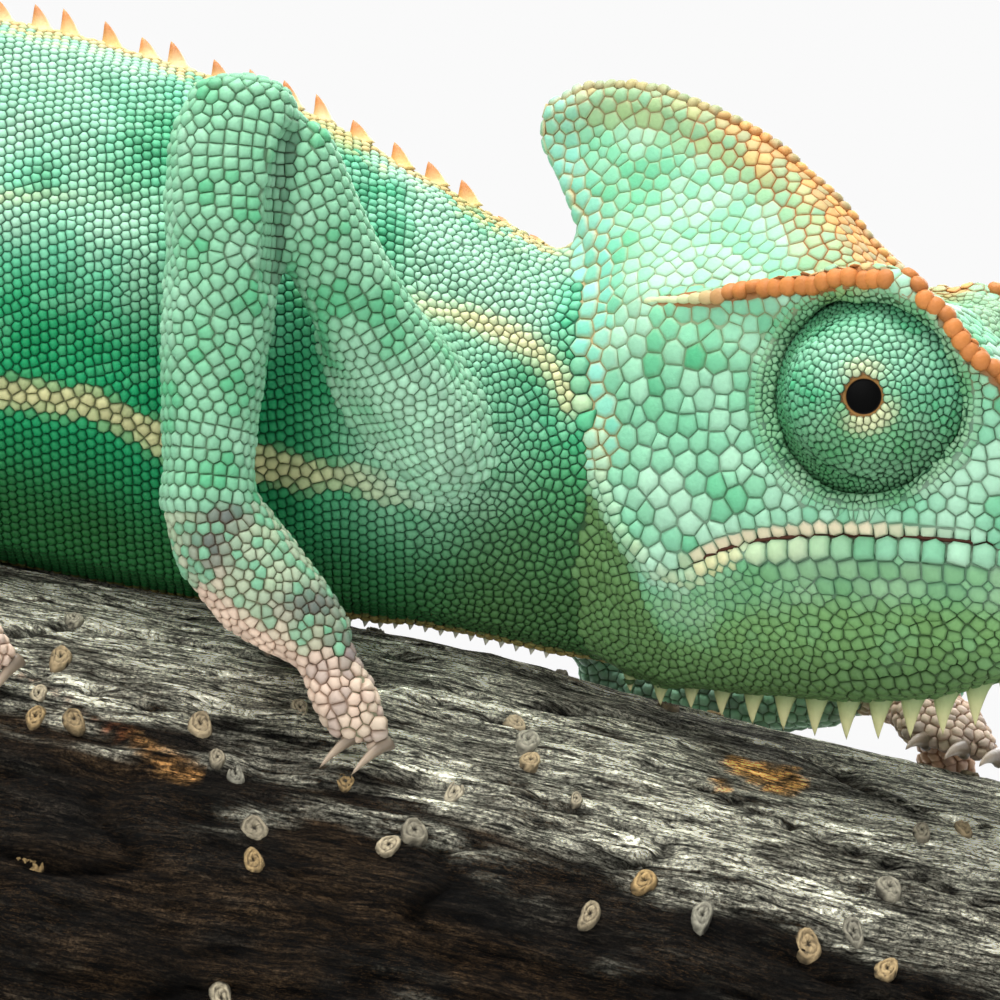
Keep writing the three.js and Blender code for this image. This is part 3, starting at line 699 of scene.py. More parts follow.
def colours():
    """The panel's colours by name."""
    own = settings("colours")
    return SimpleNamespace(**{name: np.array(getattr(own, name)) for name in own.__annotations__})


def over_stripe(points):
    """Height over the middle of the flank stripe."""
    return points[:, 2] - height_on(STRIPE, points[:, 0])


def spots(flat, places):
    """Sum of soft oval spots: x, z, half length, half height."""
    total = np.zeros(len(flat))
    for x, z, wide, high in places:
        total += np.exp(-((flat[:, 0] - x) / wide) ** 2 - ((flat[:, 1] - z) / high) ** 2)
    return clamp01(total)


def mark_body(points, luck, hue):
    """Trunk, neck and tail: pale back, dark bands, cream flank stripe and a belly darkened as
    painted shade.
    """
    x, y, z = points.T
    flat = points[:, [0, 2]]
    patch = field(points * [1.0, 1.0, 0.75], 8.0, 3.0, 2)
    fine = field(points, 2.6, 5.0)
    over = over_stripe(points) + 0.7 * field(points, 4.0, 8.0)
    high = step(over, 2.5, 9.5)
    mint = hue.mint * [0.68, 1.0, 0.98]
    body = blend(hue.emerald, mint, high * 0.88 + 0.06)
    body = blend(body, hue.deep, 0.62 * step(patch + 0.4 * fine, 0.05, 0.5) * (1 - 0.7 * high))
    body = blend(body, hue.emerald, 0.55 * step(patch - 0.3 * fine, 0.2, 0.5) * high)
    body = blend(body, hue.pale, 0.8 * step(-patch + 0.3 * fine, -0.3, 0.3) * step(over, 5, 10))
    clump = field(points, 1.5, 6.0)
    body = blend(body, hue.deep, 0.32 * step(clump + 0.3 * patch, 0.1, 0.4) * step(over, 1, 2.5))
    body = blend(body, hue.pale, 0.3 * step(-clump + 0.2 * luck, 0.15, 0.5) * step(over, 1.5, 5))
    # Deep green under the stripe, then belly green: painted shade on the underside of the body.
    low = step(-over, 0.4, 3.0)
    body = blend(body, hue.deep, low * 0.62)
    body = blend(body, hue.belly, step(-over, 1.5, 8.0) * 0.85)
    body = blend(body, 0.4 * hue.deep + 0.5 * hue.emerald, 0.78 * spots(flat, [
        (4, 101, 5, 3.2), (21, 96.6, 4.6, 4.2), (13, 101, 5, 5), (-12, 110, 4, 5),
        (-30, 111, 4, 6), (-46, 112, 3.4, 5), (36.0, 98.6, 2.2, 1.6), (30, 97.5, 2.2, 2.0)]))
    body = blend(body, hue.emerald, 0.6 * spots(flat, [
        (16, 108, 3, 2.4), (9.6, 112, 3, 2), (25.5, 106.5, 2.4, 2),
        (-2, 104.5, 6, 2)]))
    body = blend(body, hue.pale, 0.6 * spots(flat, [
        (2, 109.3, 6, 1.3), (4, 117, 6, 4.6), (-20, 119, 3, 5), (-38, 116, 3, 5),
        (32, 106.0, 4, 2.0), (25, 102, 3, 2.4), (31.4, 100.4, 3, 1.4)]))
    front = step(x, 26, 35) * step(-over, -6, 1)
    body = blend(body, hue.throat * 0.52, 0.62 * front)
    wide = 1.15 + 0.35 * field(points, 2.6, 11.0)
    cream = hill(over - 0.1, wide, 4) * step(x, -70, -58) * step(-x, -31, -27)
    body = blend(body, hue.cream * (0.84 + 0.16 * luck)[:, None], 0.8 * cream)
    gap, run = line_distance(flat, curve_through(NECK_BAND, 24))
    band = hill(gap + 0.35 * fine, 0.85) * (0.3 + 0.7 * step(run, 4, 11))
    body = blend(body, hue.cream, 0.8 * band + 0.4 * spots(flat, [(0, 110.6, 6, 0.5)]))
    shoulder = clamp01(1.3 * spots(flat, [(30.0, 94.0, 5.4, 5.0)])) * step(-y, 0, 4)
    mixed = blend(hue.pale, hue.emerald, 0.35 * step(fine, 0, 0.4))
    body = blend(body, mixed, 0.9 * shoulder)
    # Darker emerald patch in the gap between upper arm and forearm: painted shade where the arm
    # shadows the flank.
    body = blend(body, hue.emerald * 0.9, 0.6 * spots(flat, [(22, 101, 3, 6)]))
    off = np.abs(y)
    ridge = step(-off, -4.6, -1.6) * step(over, 8, 12) * step(patch + 0.9 * luck, 0.2, 0.8)
    body = blend(body, hue.yellow * 0.94, 0.62 * clamp01(ridge + step(-off, -1.5, -0.8)))
    body = blend(body, hue.orange, 0.35 * step(-off, -2.4, -0.9) * step(luck, 0.45, 0.8)
                 * step(over, 8, 12))
    tail = step(-x, 74, 84)
    ring = 0.5 + 0.5 * np.sin(np.arctan2(x - COIL[0], z - COIL[1]) * 9 + 2 * fine)
    coil = blend(hue.mint, hue.deep, step(ring + 0.3 * patch, 0.45, 0.75))
    body = blend(body, coil, 0.75 * tail)
    # Groove colour: 40% of the crown with some deep green, partly the skin's own green and partly
    # painted shade between the granules.
    return body, body * 0.4 + 0.1 * hue.deep


def near_hand(points, luck):
    """Shares of the near hand, of its bruised spots and of the pink along its lower edge."""
    x, y, _ = points.T
    near = step(-y, 8, 11) * step(-x, -32, -29) * step(x, 4, 8)
    flat = points[:, [0, 2]]
    dark = spots(flat, [(15.8, 87.2, 1.5, 1.9), (17.2, 89.2, 1.5, 0.8), (22.4, 83.4, 2.4, 1.2),
                        (24.2, 80.4, 1.3, 1.5)])
    edge, _ = line_distance(flat, [[15.0, 83.6], [18.6, 80.8], [21.5, 79.0], [23.8, 77.4]])
    ragged = edge + 0.5 * field(points, 1.3, 35.0)
    strewn = 0.6 * step(-ragged, -3.6, -1.8) * step(luck, 0.6, 0.8)
    return near, near * dark, near * np.maximum(step(-ragged, -1.8, -1.0), strewn)


def mark_limb(points, luck, hue):
    """Legs: pale green with darker patches, bruised wrists and the body's colours at the root."""
    x, y, _ = points.T
    flat = points[:, [0, 2]]
    patch = field(points, 3.2, 21.0, 2)
    limb = blend(hue.limb, hue.pale, 0.35 * step(-patch, 0.1, 0.5))
    limb = blend(limb, hue.emerald, 0.55 * step(patch + 0.35 * (luck - 0.5), 0.16, 0.5))
    off = perch_height(points)
    near, dark, _ = near_hand(points, luck)
    wrist = step(-off, -8.5, -5.5) * step(patch + 0.2 * (luck - 0.5), -0.16, 0.08)
    bruised = np.maximum(wrist * (1 - near), dark * step(luck, 0, 0.3))
    limb = blend(limb, hue.bruise, 0.8 * bruised)
    root = step(-np.abs(y), -11.6, -9.4)
    body, _ = mark_body(points, luck, hue)
    limb = blend(limb, body, 0.7 * root)
    shoulder = spots(flat, [(31, 94, 5, 5.5)]) * step(-y, 0, 4)
    limb = blend(limb, hue.pale * (0.95 + 0.35 * luck)[:, None], 0.75 * shoulder)
    # Scales along the elbow fold are darkened: painted shade in the crease.
    fold, _ = line_distance(flat, ELBOW_FOLD)
    fold = near * hill(fold, 0.5)
    limb = limb * (1 - 0.55 * fold)[:, None]
    # Paler scales on the far foreleg: painted light that lifts it out of the shade under the
    # throat.
    limb = blend(limb, hue.pale, 0.5 * step(y, 6, 10) * step(x, 20, 26))
    # Groove colour: a darker copy of the limb with an orange tint, partly the skin's own colour and
    # partly painted shade between the scales.
    return limb, limb * 0.58 + 0.07 * hue.orange


def mark_foot(points, owner_toes, luck, hue):
    """Hands and feet: green above, grey patches, pinkish beige towards toes and sole."""
    x, y, _ = points.T
    patch = field(points, 2.2, 31.0, 2)
    off = perch_height(points)
    near, dark, edge = near_hand(points, luck)
    pink = step(-off, -4.2, -2.2) + 0.7 * step(patch, 0.1, 0.35)
    pink = clamp01(0.9 * owner_toes + edge + pink * (1 - near))
    foot = blend(hue.limb, hue.emerald, 0.4 * step(-patch + 0.4 * (luck - 0.5), 0.05, 0.4))
    foot = blend(foot, hue.sole * 0.9, 0.4 * near * step(luck, 0.1, 0.5))
    far = step(y, 2, 6) * step(x, 40, 48)
    sole = blend(hue.sole, hue.orange, 0.35 * far)
    foot = blend(foot, sole * (0.9 + 0.14 * luck)[:, None], pink)
    grey = step(patch + 0.3 * (luck - 0.5), -0.3, 0.0) * step(-patch, -0.2, 0.1)
    grey = 0.6 * grey * step(off, 2.6, 4.6) * (1 - near)
    foot = blend(foot, hue.bruise, 0.8 * np.maximum(dark * step(luck, 0, 0.3), grey))
    foot = blend(foot, hue.bruise * 1.5, 0.45 * owner_toes * step(luck, 0.55, 0.9))
    # Groove colour: a darker copy of the foot with an orange tint, partly the skin's own colour and
    # partly painted shade between the scales.
    return foot, foot * 0.46 + 0.14 * hue.orange


def mark_head(points, luck, hue):
    """Head: mint plates, orange brow and crest, aqua rear row, cream lips, green throat."""
    local = mirrored(world_to_head(points))
    flat = local[:, [0, 2]]
    x, z = flat.T
    patch = field(points, 3.0, 41.0, 2)
    pale = step(0.12 * (luck - 0.5) - patch + 0.3 * step(z, 100, 106)
                - 0.5 * step(z, 108, 114), -0.1, 0.5)
    pale = clamp01(pale + 0.35 * step(-z, -103, -98) * step(luck, 0.2, 0.6))
    head = blend(hue.mint, hue.pale, 0.84 * pale)
    head = blend(head, hue.emerald, 0.5 * step(patch + 0.4 * (luck - 0.55), 0.1, 0.55)
                 * (1 - 0.6 * step(z, 101, 105)))
    green = spots(flat, [(13.5, 99.5, 3.4, 1.3), (17, 95.5, 1.6, 2.2), (16.6, 90.6, 2.8, 1.0),
                         (8.4, 88.4, 1.6, 1.2), (4, 111.5, 3.0, 2.6), (35, 89.6, 2.2, 1.0),
                         (6.5, 107, 2.4, 1.2), (19.5, 105.8, 2.6, 0.8)])
    head = blend(head, hue.emerald, 0.55 * green * step(luck, 0.0, 0.4))
    # Grooves: darker copies of the plates, less dark and creamier higher up on the casque where
    # more light falls: partly the skin's own colour, partly painted shade.
    soft = step(z, 96, 105)
    groove = head * (0.56 + 0.26 * soft)[:, None] + 0.05 * hue.orange
    groove = blend(groove, blend(head, hue.cream, 0.5) * 0.82, 0.8 * soft)

    top, run = line_distance(flat, CREST)
    lime = 0.6 * hue.throat + 0.4 * hue.yellow
    band = step(-top, -4.2, -2.4) * step(run, 0.5, 3)
    head = blend(head, blend(hue.mint * 0.84, lime * 0.94, 0.25 + 0.6 * luck), 0.75 * band)
    warm = step(-top, -1.1, -0.5) * (0.45 + 0.45 * step(luck, 0.1, 0.6))
    heart = hill(run - 16, 2.0) * step(-top, -2.6, -1.6) * (0.25 + 0.5 * luck)
    warm = np.maximum(warm * (1 - 0.5 * step(run, 17, 24)), heart)
    warm = clamp01(warm * step(run, 0.5, 3))
    head = blend(head, blend(hue.orange, hue.yellow, 0.5 * luck), warm)
    groove = blend(groove, hue.orange * 0.75, band * (1 - 0.5 * step(run, 19, 25)))
    nape, _ = line_distance(flat, NAPE)
    rear = step(-nape, -3.0, -1.2)
    head = blend(head, hue.aqua * 0.95, (0.35 + 0.4 * luck) * rear)
    groove = blend(groove, blend(hue.orange, hue.cream, 0.6) * 0.85, rear * 0.75)
    gap, run = line_distance(local, curve_through(BROW, 40))
    near = step(-gap, -2.2, -0.9) * step(run, 1, 4)
    groove = blend(groove, hue.orange * 0.55, near * 0.4)
    brow = step(-gap, -0.75, -0.5)
    rust = hue.orange * blend(np.array([0.74]), np.array([1.0]), luck)
    head = blend(head, rust, brow * (0.15 + 0.85 * step(run, 5, 10)))
    groove = blend(groove, hue.orange * 0.6, brow)

    above = z - height_on(MOUTH, x)
    mouth = step(x, 11.5, 13.5)
    rosy = blend(hue.cream, hue.sole, 0.7) * 1.06
    head = blend(head, rosy, mouth * step(-x, -33, -25) * step(-above, -1.1, -0.7)
                 * step(above, -0.1, 0.05) * 0.8)
    head = blend(head, hue.cream, mouth * step(above, -1.5, -1.2) * step(-above, 0, 0.1)
                 * step(-x, -27, -20) * (0.75 - 0.4 * step(x, 15.5, 17)))
    jaw = step(-above, 0.3, 2.4) * step(x, 2, 7)
    head = blend(head, hue.throat, 0.6 * jaw)
    throat = step(-above, 3.2, 5.4) * step(x, -4, 2)
    low = blend(hue.throat, hue.mint, 0.15 * step(-patch, 0, 0.5) + 0.08 * luck)
    low = blend(low, hue.throat * 0.5, step(-z, -81.6, -77.4))
    rear = np.interp(z, [76, 86.5, 91, 95], [11.5, 8.2, 5.2, 4.8])
    behind = step(rear - x, 0.2, 1.2) * step(-z, -97, -93)
    low = blend(low, hue.throat * 0.62, behind * 0.7)
    low_share = clamp01(np.maximum(throat, behind))
    head = blend(head, low, low_share)
    # Throat grooves: 46% of the throat colour, painted shade between the scales on top of the
    # skin's own green.
    groove = blend(groove, low * 0.46, low_share)
    fold, _ = line_distance(flat, curve_through(CHEEK_EDGE, 20))
    rim = blend(hue.cream, hue.pale, 0.3 + 0.7 * luck)
    head = blend(head, rim, 0.5 * step(-fold, -1.1, -0.4))
    # Dark brown seam where the lips meet: partly the lips' own dark edge, partly painted shade in
    # the gap.
    seam = hill(above, 0.34) * mouth
    groove = blend(groove, rgb(84, 44, 30), seam)
    socket = np.linalg.norm(local - EYE_LOCAL, axis=1)
    ring = step(-socket, -8.5, -7.5) * (1 - brow)
    head = blend(head, hue.throat * 0.9, 0.5 * ring)
    # Near-black green groove round the turret: painted shadow in the crease between turret and
    # socket.
    groove = blend(groove, hue.deep * 0.5, 0.9 * step(-socket, -7.9, -7.1))
    return head, groove


def marking(points, zone, luck, toes=None):
    """Colour of each scale's crown and of the groove round it, from its place on the animal. The
    grooves are mostly darker than the crowns: partly the skin's own colour, partly painted shade
    between the scales.
    """
    hue = colours()
    crown = np.zeros((len(points), 3))
    groove = np.zeros((len(points), 3))
    toes = np.zeros(len(points)) if toes is None else toes
    for number, name in enumerate(ZONES):
        own = zone == number
        if not own.any():
            continue
        at, chance = points[own], luck[own]
        if name in ("trunk", "neck", "tail"):
            crown[own], groove[own] = mark_body(at, chance, hue)
        elif name == "limb":
            crown[own], groove[own] = mark_limb(at, chance, hue)
        elif name == "foot":
            crown[own], groove[own] = mark_foot(at, toes[own], chance, hue)
        elif name == "head":
            crown[own], groove[own] = mark_head(at, chance, hue)
    crown = crown * (1 + 0.16 * (luck[:, None] - 0.5))
    return crown, groove


# ---- scales ----------------------------------------------------------------------------------
def on_skin(points):
    """Nearest place on the skin: positions, smoothed normals and the node underneath."""
    verts, quads, normals = SURFACE["verts"], SURFACE["quads"], SURFACE["normals"]
    found = [SURFACE["tree"].find_nearest(p) for p in points.tolist()]
    place = np.array([f[0][:] for f in found])
    ring = quads[np.array([f[2] for f in found])]
    near = 1.0 / (np.linalg.norm(verts[ring] - place[:, None], axis=2) + 0.02)
    near /= near.sum(1, keepdims=True)
    normal = unit((normals[ring] * near[..., None]).sum(1))
    best = ring[np.arange(len(ring)), near.argmax(1)]
    return place, normal, SURFACE["owner"][best]


def shoot(starts, ways):
    """Where straight lines meet the skin; rows of nan where they miss."""
    out = np.full((len(starts), 3), np.nan)
    for i, (start, way) in enumerate(zip(starts.tolist(), ways.tolist())):
        hit = SURFACE["tree"].ray_cast(start, way)
        if hit[0] is not None:
            out[i] = hit[0]
    return out


# distance between rows of scales, in pitches, where each row lies in the gaps of the last
ROW_STEP = 0.87
# most corners that the outline of a cell can have
SLOTS = 14
# roundness of seeds that only keep room for the brow's beads
HIDDEN = -1.0
# place beside the head from which its rows are aimed at the skin
BESIDE = 30.0


class Seeds:
    """Places of the scales: position, radius, whether fixed, height share and roundness."""

    def __init__(self):
        self.parts = []

    def add(self, points, radius, fixed=False, height=1.0, soft=0.5):
        good = ~np.isnan(points[:, 0])
        count = len(points)
        self.parts.append((points[good], np.broadcast_to(radius, count).astype(float)[good],
                           np.full(count, fixed)[good],
                           np.broadcast_to(height, count).astype(float)[good],
                           np.broadcast_to(soft, count).astype(float)[good]))

    def joined(self):
        return [np.concatenate(column) for column in zip(*self.parts)]


def shoot_head(flat, last=None, side=0):
    """Skin met from points of the head's side view, aimed at others or straight across."""
    first = np.insert(flat, 1, BESIDE * side, axis=1)
    last = np.insert(flat if last is None else last, 1, 0, axis=1)
    first, last = head_to_world(first), head_to_world(last)
    return shoot(first, unit(last - first))


def side_row(line, pitch, side, start=0.0):
    """Places along a chain of the head's side view, met from that side."""
    return shoot_head(along_line(line, pitch, start), side=side)


def shifted(line, amount):
    """The same chain, higher by some amount."""
    return [[x, z + amount] for x, z in line]


# rows of the head: chain, pitch, start and most scales; then radius, whether fixed, height
# share and roundness
HEAD_ROWS = (
    (shifted(MOUTH, 0.48), 1.05, 0.6, None, 0.5, True, 1.0, 0.5),
    (shifted(MOUTH, 1.34), 1.16, 1.2, None, 0.52, True, 1.1, 0.45),
    (shifted(MOUTH[3:], -0.84), 1.56, 0.0, None, 0.82, True, 1.6, 0.75),
    (shifted(MOUTH[:4], -0.62), 0.95, 1.0, 5, 0.46, True, 1.3, 0.5),
    (shifted(MOUTH[3:], -2.2), 1.42, 0.8, None, 0.72, True, 1.4, 0.7),
    (shifted(MOUTH[4:], -3.36), 1.28, 0.2, None, 0.62, True, 1.3, 0.65),
    (NAPE, 1.3, 6.0, None, 0.66, True, 1.1, 0.6),
    (CHEEK_EDGE, 0.82, 1.4, None, 0.43, False, 1.3, 0.55))


def head_rows(seeds):
    """The rows of the head that stand in line: lips, rear row, fold, brow, lids and crest."""
    for side in (-1, 1):
        for line, pitch, start, most, *look in HEAD_ROWS:
            seeds.add(side_row(line, pitch, side, start)[:most], *look)
        brow = curve_through(BROW, 60)
        beads, _, _ = on_skin(head_to_world(along_line(brow, 1.0, 2.4) * [1, side, 1]))
        seeds.add(beads, 0.26 + 0.32 * step(np.arange(len(beads)), 0, 7), True, 1.0, HIDDEN)
        for ring, pitch in ((7.4, 0.42), (7.85, 0.54)):
            turn = turns(int(TURN * ring / pitch))
            around = np.column_stack([EYE_LOCAL[0] + ring * np.cos(turn),
                                      EYE_LOCAL[2] + ring * np.sin(turn)])
            hit = shoot_head(around, side=side)
            hit = hit[~np.isnan(hit[:, 0])]
            reach = np.abs(np.linalg.norm(hit - eye_centre(side), axis=1) - ring)
            local = world_to_head(hit) * [1, side, 1]
            clear = line_distance(local, brow)[0] > 1.0
            seeds.add(hit[(reach < 0.9) & clear], pitch / 2, True, 1.0, 0.6)
    top = along_line(curve_through(CREST, 60), 0.86, 0.4)
    tangent = unit(np.gradient(top, axis=0))
    outward = np.column_stack([tangent[:, 1], -tangent[:, 0]])
    if outward[len(outward) // 2][1] < 0:
        outward = -outward
    seeds.add(shoot_head(top + outward * 8, top), 0.47, True, 1.9, 0.8)


def brow_chain(side, coat, wanted):
    """Fused beads of the brow ridge, each an oval dome across the ridge."""
    pitch, corners = 0.92, 12
    row = along_line(curve_through(BROW, 60), pitch, 1.2)
    run = np.arange(len(row)) * pitch
    points, normals, _ = on_skin(head_to_world(row * [1, side, 1]))
    along = unit(np.gradient(points, axis=0))
    along = unit(along - normals * (along * normals).sum(1, keepdims=True))
    turn = turns(corners)
    broad = 0.28 + 0.4 * step(run, 1, 8)
    px = np.zeros((len(row), SLOTS))
    py = np.zeros((len(row), SLOTS))
    px[:, :corners] = 0.7 * np.cos(turn)
    py[:, :corners] = broad[:, None] * np.sin(turn)
    luck = np.random.default_rng(31 + side).random(len(row))
    hue = colours()
    rust = hue.orange * blend(np.array([0.76]), np.array([1.0]), luck)
    crown = blend(blend(hue.mint, hue.cream, 0.6), rust, step(run, 2, 7))
    # Groove colour: the crown at 55%, painted shade round each bead.
    groove = crown * 0.55
    cell = (px, py, np.full(len(row), corners), np.zeros((len(row), 3)), along,
            np.cross(normals, along))
    return scale_arrays(cell, points - 0.06 * normals, normals, crown, groove,
                        (0.24 + 0.3 * step(run, 2, 9)) * (0.92 + 0.16 * luck), np.zeros(len(row)),
                        (OVAL, OVAL), bake_places(coat, wanted, points))


def head_radius(local):
    """Radius of the largest scale at each place of the head."""
    flat = local[:, [0, 2]]
    x, z = flat.T
    radius = 0.76 - 0.18 * step(z, 99, 103) - 0.04 * step(z, 110, 114)
    crest, _ = line_distance(flat, CREST)
    radius = np.minimum(radius, 0.43 + 0.08 * np.maximum(crest - 0.8, 0))
    radius = np.minimum(radius, np.where(x > 30, 0.6, 2))
    eye = np.linalg.norm(mirrored(local) - EYE_LOCAL, axis=1)
    radius = np.minimum(radius, np.clip(0.26 + (eye - 7.6) * 0.24, 0.2, 2))
    under = height_on(MOUTH, x) - z
    throat = 0.3 + 0.14 * step(x, 12, 26)
    radius = np.where((under > 0.2) & (x > 8), np.minimum(radius, throat), radius)
    rear = np.interp(z, [70, 76, 86.5, 91, 95, 97], [13, 11.5, 8.2, 5.4, 4.6, 2.0])
    beyond = np.maximum(x - rear, 0)
    radius = np.where((x < rear + 2.4) & (z < 96), np.minimum(radius, 0.31 + beyond * 0.16), radius)
    return np.maximum(radius, 0.2)


def sample_skin(wanted, per_mm2, random):
    """Random places on the part of the skin where wanted is true for the corners."""
    verts, quads = SURFACE["verts"], SURFACE["quads"]
    faces = quads[wanted[quads].all(1)]
    tris = np.vstack([faces[:, [0, 1, 2]], faces[:, [0, 2, 3]]])
    a, b, c = (verts[tris[:, k]] for k in range(3))
    area = np.linalg.norm(np.cross(b - a, c - a), axis=1) / 2
    count = int(area.sum() * per_mm2)
    pick = np.searchsorted(np.cumsum(area), random.random(count) * area.sum())
    pick = np.minimum(pick, len(tris) - 1)
    u, v = random.random(count), random.random(count)
    flip = u + v > 1
    u[flip], v[flip] = 1 - u[flip], 1 - v[flip]
    return a[pick] + u[:, None] * (b[pick] - a[pick]) + v[:, None] * (c[pick] - a[pick])


def fill_gaps(points, radius, taken, taken_radius, shares):
    """Picks places from many, largest scales first, that keep clear of those taken."""
    clear = 0.94
    room = np.full(len(points), 1e9)
    if len(taken):
        tree = point_tree(taken)
        for i, p in enumerate(points.tolist()):
            for _, j, gap in tree.find_n(p, 3):
                room[i] = min(room[i], gap - clear * taken_radius[j])
    picked, sizes = [], []
    cell = 2.0 * radius.max()
    keys = np.floor(points / cell).astype(int)
    keys -= keys.min(0)
    span = keys.max(0) + 3
    code = ((keys[:, 0] + 1) * span[1] + keys[:, 1] + 1) * span[2] + keys[:, 2] + 1
    order = np.argsort(code, kind="stable")
    bounds = np.searchsorted(code[order], np.arange(code.max() + 2))
    shifts = [(a * span[1] + b) * span[2] + c for a in (-1, 0, 1) for b in (-1, 0, 1)
              for c in (-1, 0, 1)]
    for share in shares:
        own = radius * share
        for i in np.nonzero(room > clear * own)[0]:
            if room[i] <= clear * own[i]:
                continue
            picked.append(i)
            sizes.append(own[i])
            for shift in shifts:
                key = code[i] + shift
                if key < 0 or key >= len(bounds) - 1 or bounds[key] == bounds[key + 1]:
                    continue
                near = order[bounds[key]:bounds[key + 1]]
                gap = np.sqrt(((points[near] - points[i]) ** 2).sum(1)) - clear * own[i]
                room[near] = np.minimum(room[near], gap)
    return points[picked], np.array(sizes)


def ring_lattice(centres, ways, pitch, owner_ok, seeds, soft=0.7, clear=0.0):
    """Rows of scales round a chain of centres, met by straight lines from inside."""
    runs = run_lengths(centres)
    found = []
    place, row = 0.0, 0
    while place < runs[-1]:
        centre, way = between(centres, runs, place), unit(between(ways, runs, place))
        first = unit(np.array([0.0, 1.0, 0.0]) - way * way[1])
        second = np.cross(way, first)
        probe = np.linspace(0, TURN, 16, endpoint=False)
        rays = np.cos(probe)[:, None] * first + np.sin(probe)[:, None] * second
        hits = shoot(np.repeat(centre[None], 16, 0), rays)
        reach = np.nanmedian(np.linalg.norm(hits - centre, axis=1))
        count = max(6, int(round(TURN * reach / pitch)))
        turn = (np.arange(count) + 0.5 * (row % 2)) / count * TURN
        rays = np.cos(turn)[:, None] * first + np.sin(turn)[:, None] * second
        hits = shoot(np.repeat(centre[None], count, 0), rays)
        found.append(hits[np.linalg.norm(hits - centre, axis=1) < reach * 2.2])
        place += ROW_STEP * TURN * reach / count
        row += 1
    points = np.vstack(found)
    points = points[~np.isnan(points[:, 0])]
    points, _, owner = on_skin(points)
    good = owner_ok(owner) & (np.abs(points[:, 1]) >= clear)
    seeds.add(points[good], pitch / 2, False, 1.0, soft)


def long_way(verts):
    """Middle and long direction of some corners, and how far along it each of them lies."""
    middle = verts.mean(0)
    way = np.linalg.svd(verts - middle)[2][0]
    return middle, way, (verts - middle) @ way


def slice_centres(verts, run, edges, least):
    """Middles of the slices of some corners, where a slice holds enough of them."""
    slices = [verts[(run >= low) & (run <= high)] for low, high in zip(edges[:-1], edges[1:])]
    return np.array([own.mean(0) for own in slices if len(own) >= least])


def node_axis(name):
    """Chain of centres along the long way of a node."""
    verts, _, _ = node_arrays(name)
    _, way, run = long_way(verts)
    chain = slice_centres(verts, run, np.linspace(run.min(), run.max(), 8), 4)
    chain = np.vstack([chain[0] - way * 1.2, chain, chain[-1] + way * 1.2])
    return chain, unit(np.gradient(chain, axis=0))


def trunk_seeds(seeds, pitch, random):
    """Upright columns of granules on belly and flank, under and over the flank stripe."""
    wanted = [FLESH.index(n) for n in ("trunk_front", "trunk_rear", "tail_1")]
    rays = 72
    turn = (np.arange(rays) + 0.5) / rays * math.pi
    row = 0
    found = []
    verts = SURFACE["verts"]
    for x in np.arange(-72.0, 29.6, pitch * ROW_STEP):
        row += 1
        near = (np.abs(verts[:, 0] - x) < 0.8) & (np.abs(verts[:, 1]) < 0.9)
        middle = (verts[near, 2].max() + verts[near, 2].min()) / 2
        for side in (-1, 1):
            ways = np.column_stack([np.zeros(rays), side * np.sin(turn), np.cos(turn)])
            hits = shoot(np.repeat([[x, 0.0, middle]], rays, 0), ways)
            good = ~np.isnan(hits[:, 0])
            hits = hits[good]
            if len(hits) < 8:
                continue
            runs = run_lengths(hits)
            mid = np.interp(math.pi / 2, turn[good], runs)
            start = mid - pitch * (math.floor(mid / pitch) + 0.5 * (row % 2))
            at = np.arange(start, runs[-1], pitch)
            at = at[at > 0.1]
            found.append(between(hits, runs, at))
    points = np.vstack(found)
    over = over_stripe(points)
    points = points + random.normal(0, 0.07 * pitch, points.shape) * (1 + (over > 0))[:, None]
    points = points[(over < -1.3) | (over > 1.7)]
    points, _, owner = on_skin(points)
    seeds.add(points[np.isin(owner, wanted)], pitch / 2, False, 1.0, 0.85)


def body_radius(points, owner):
    """Radius and roundness of the scales on trunk, neck, limbs and feet."""
    own = settings("scales")
    by_zone = {"limb": own.limb, "foot": own.hand, "trunk": own.flank, "neck": own.flank,
               "tail": own.tail}
    pitches = [own.toe if name.startswith("toes") else by_zone.get(zone_of(name), own.flank)
               for name in FLESH]
    sizes = np.array(pitches)[owner] / MM / 2
    soft = np.where(in_zones(owner, "limb", "foot"), 0.6, 0.9)
    body = in_zones(owner, "trunk", "neck")
    ahead = step(points[:, 0], 27, 33)
    sizes = np.where(body, sizes * (1 - ahead) + own.neck / MM / 2 * ahead, sizes)
    slimmer = 1 - 0.22 * step(-np.abs(points[:, 1]), -12.4, -10)
    sizes = np.where(in_zones(owner, "limb"), sizes * slimmer, sizes)
    stripe = hill(over_stripe(points), 1.1, 4) * step(-points[:, 0], -30, -24)
    sizes = np.where(body, sizes * (1 + 0.12 * stripe), sizes)
    return sizes, soft


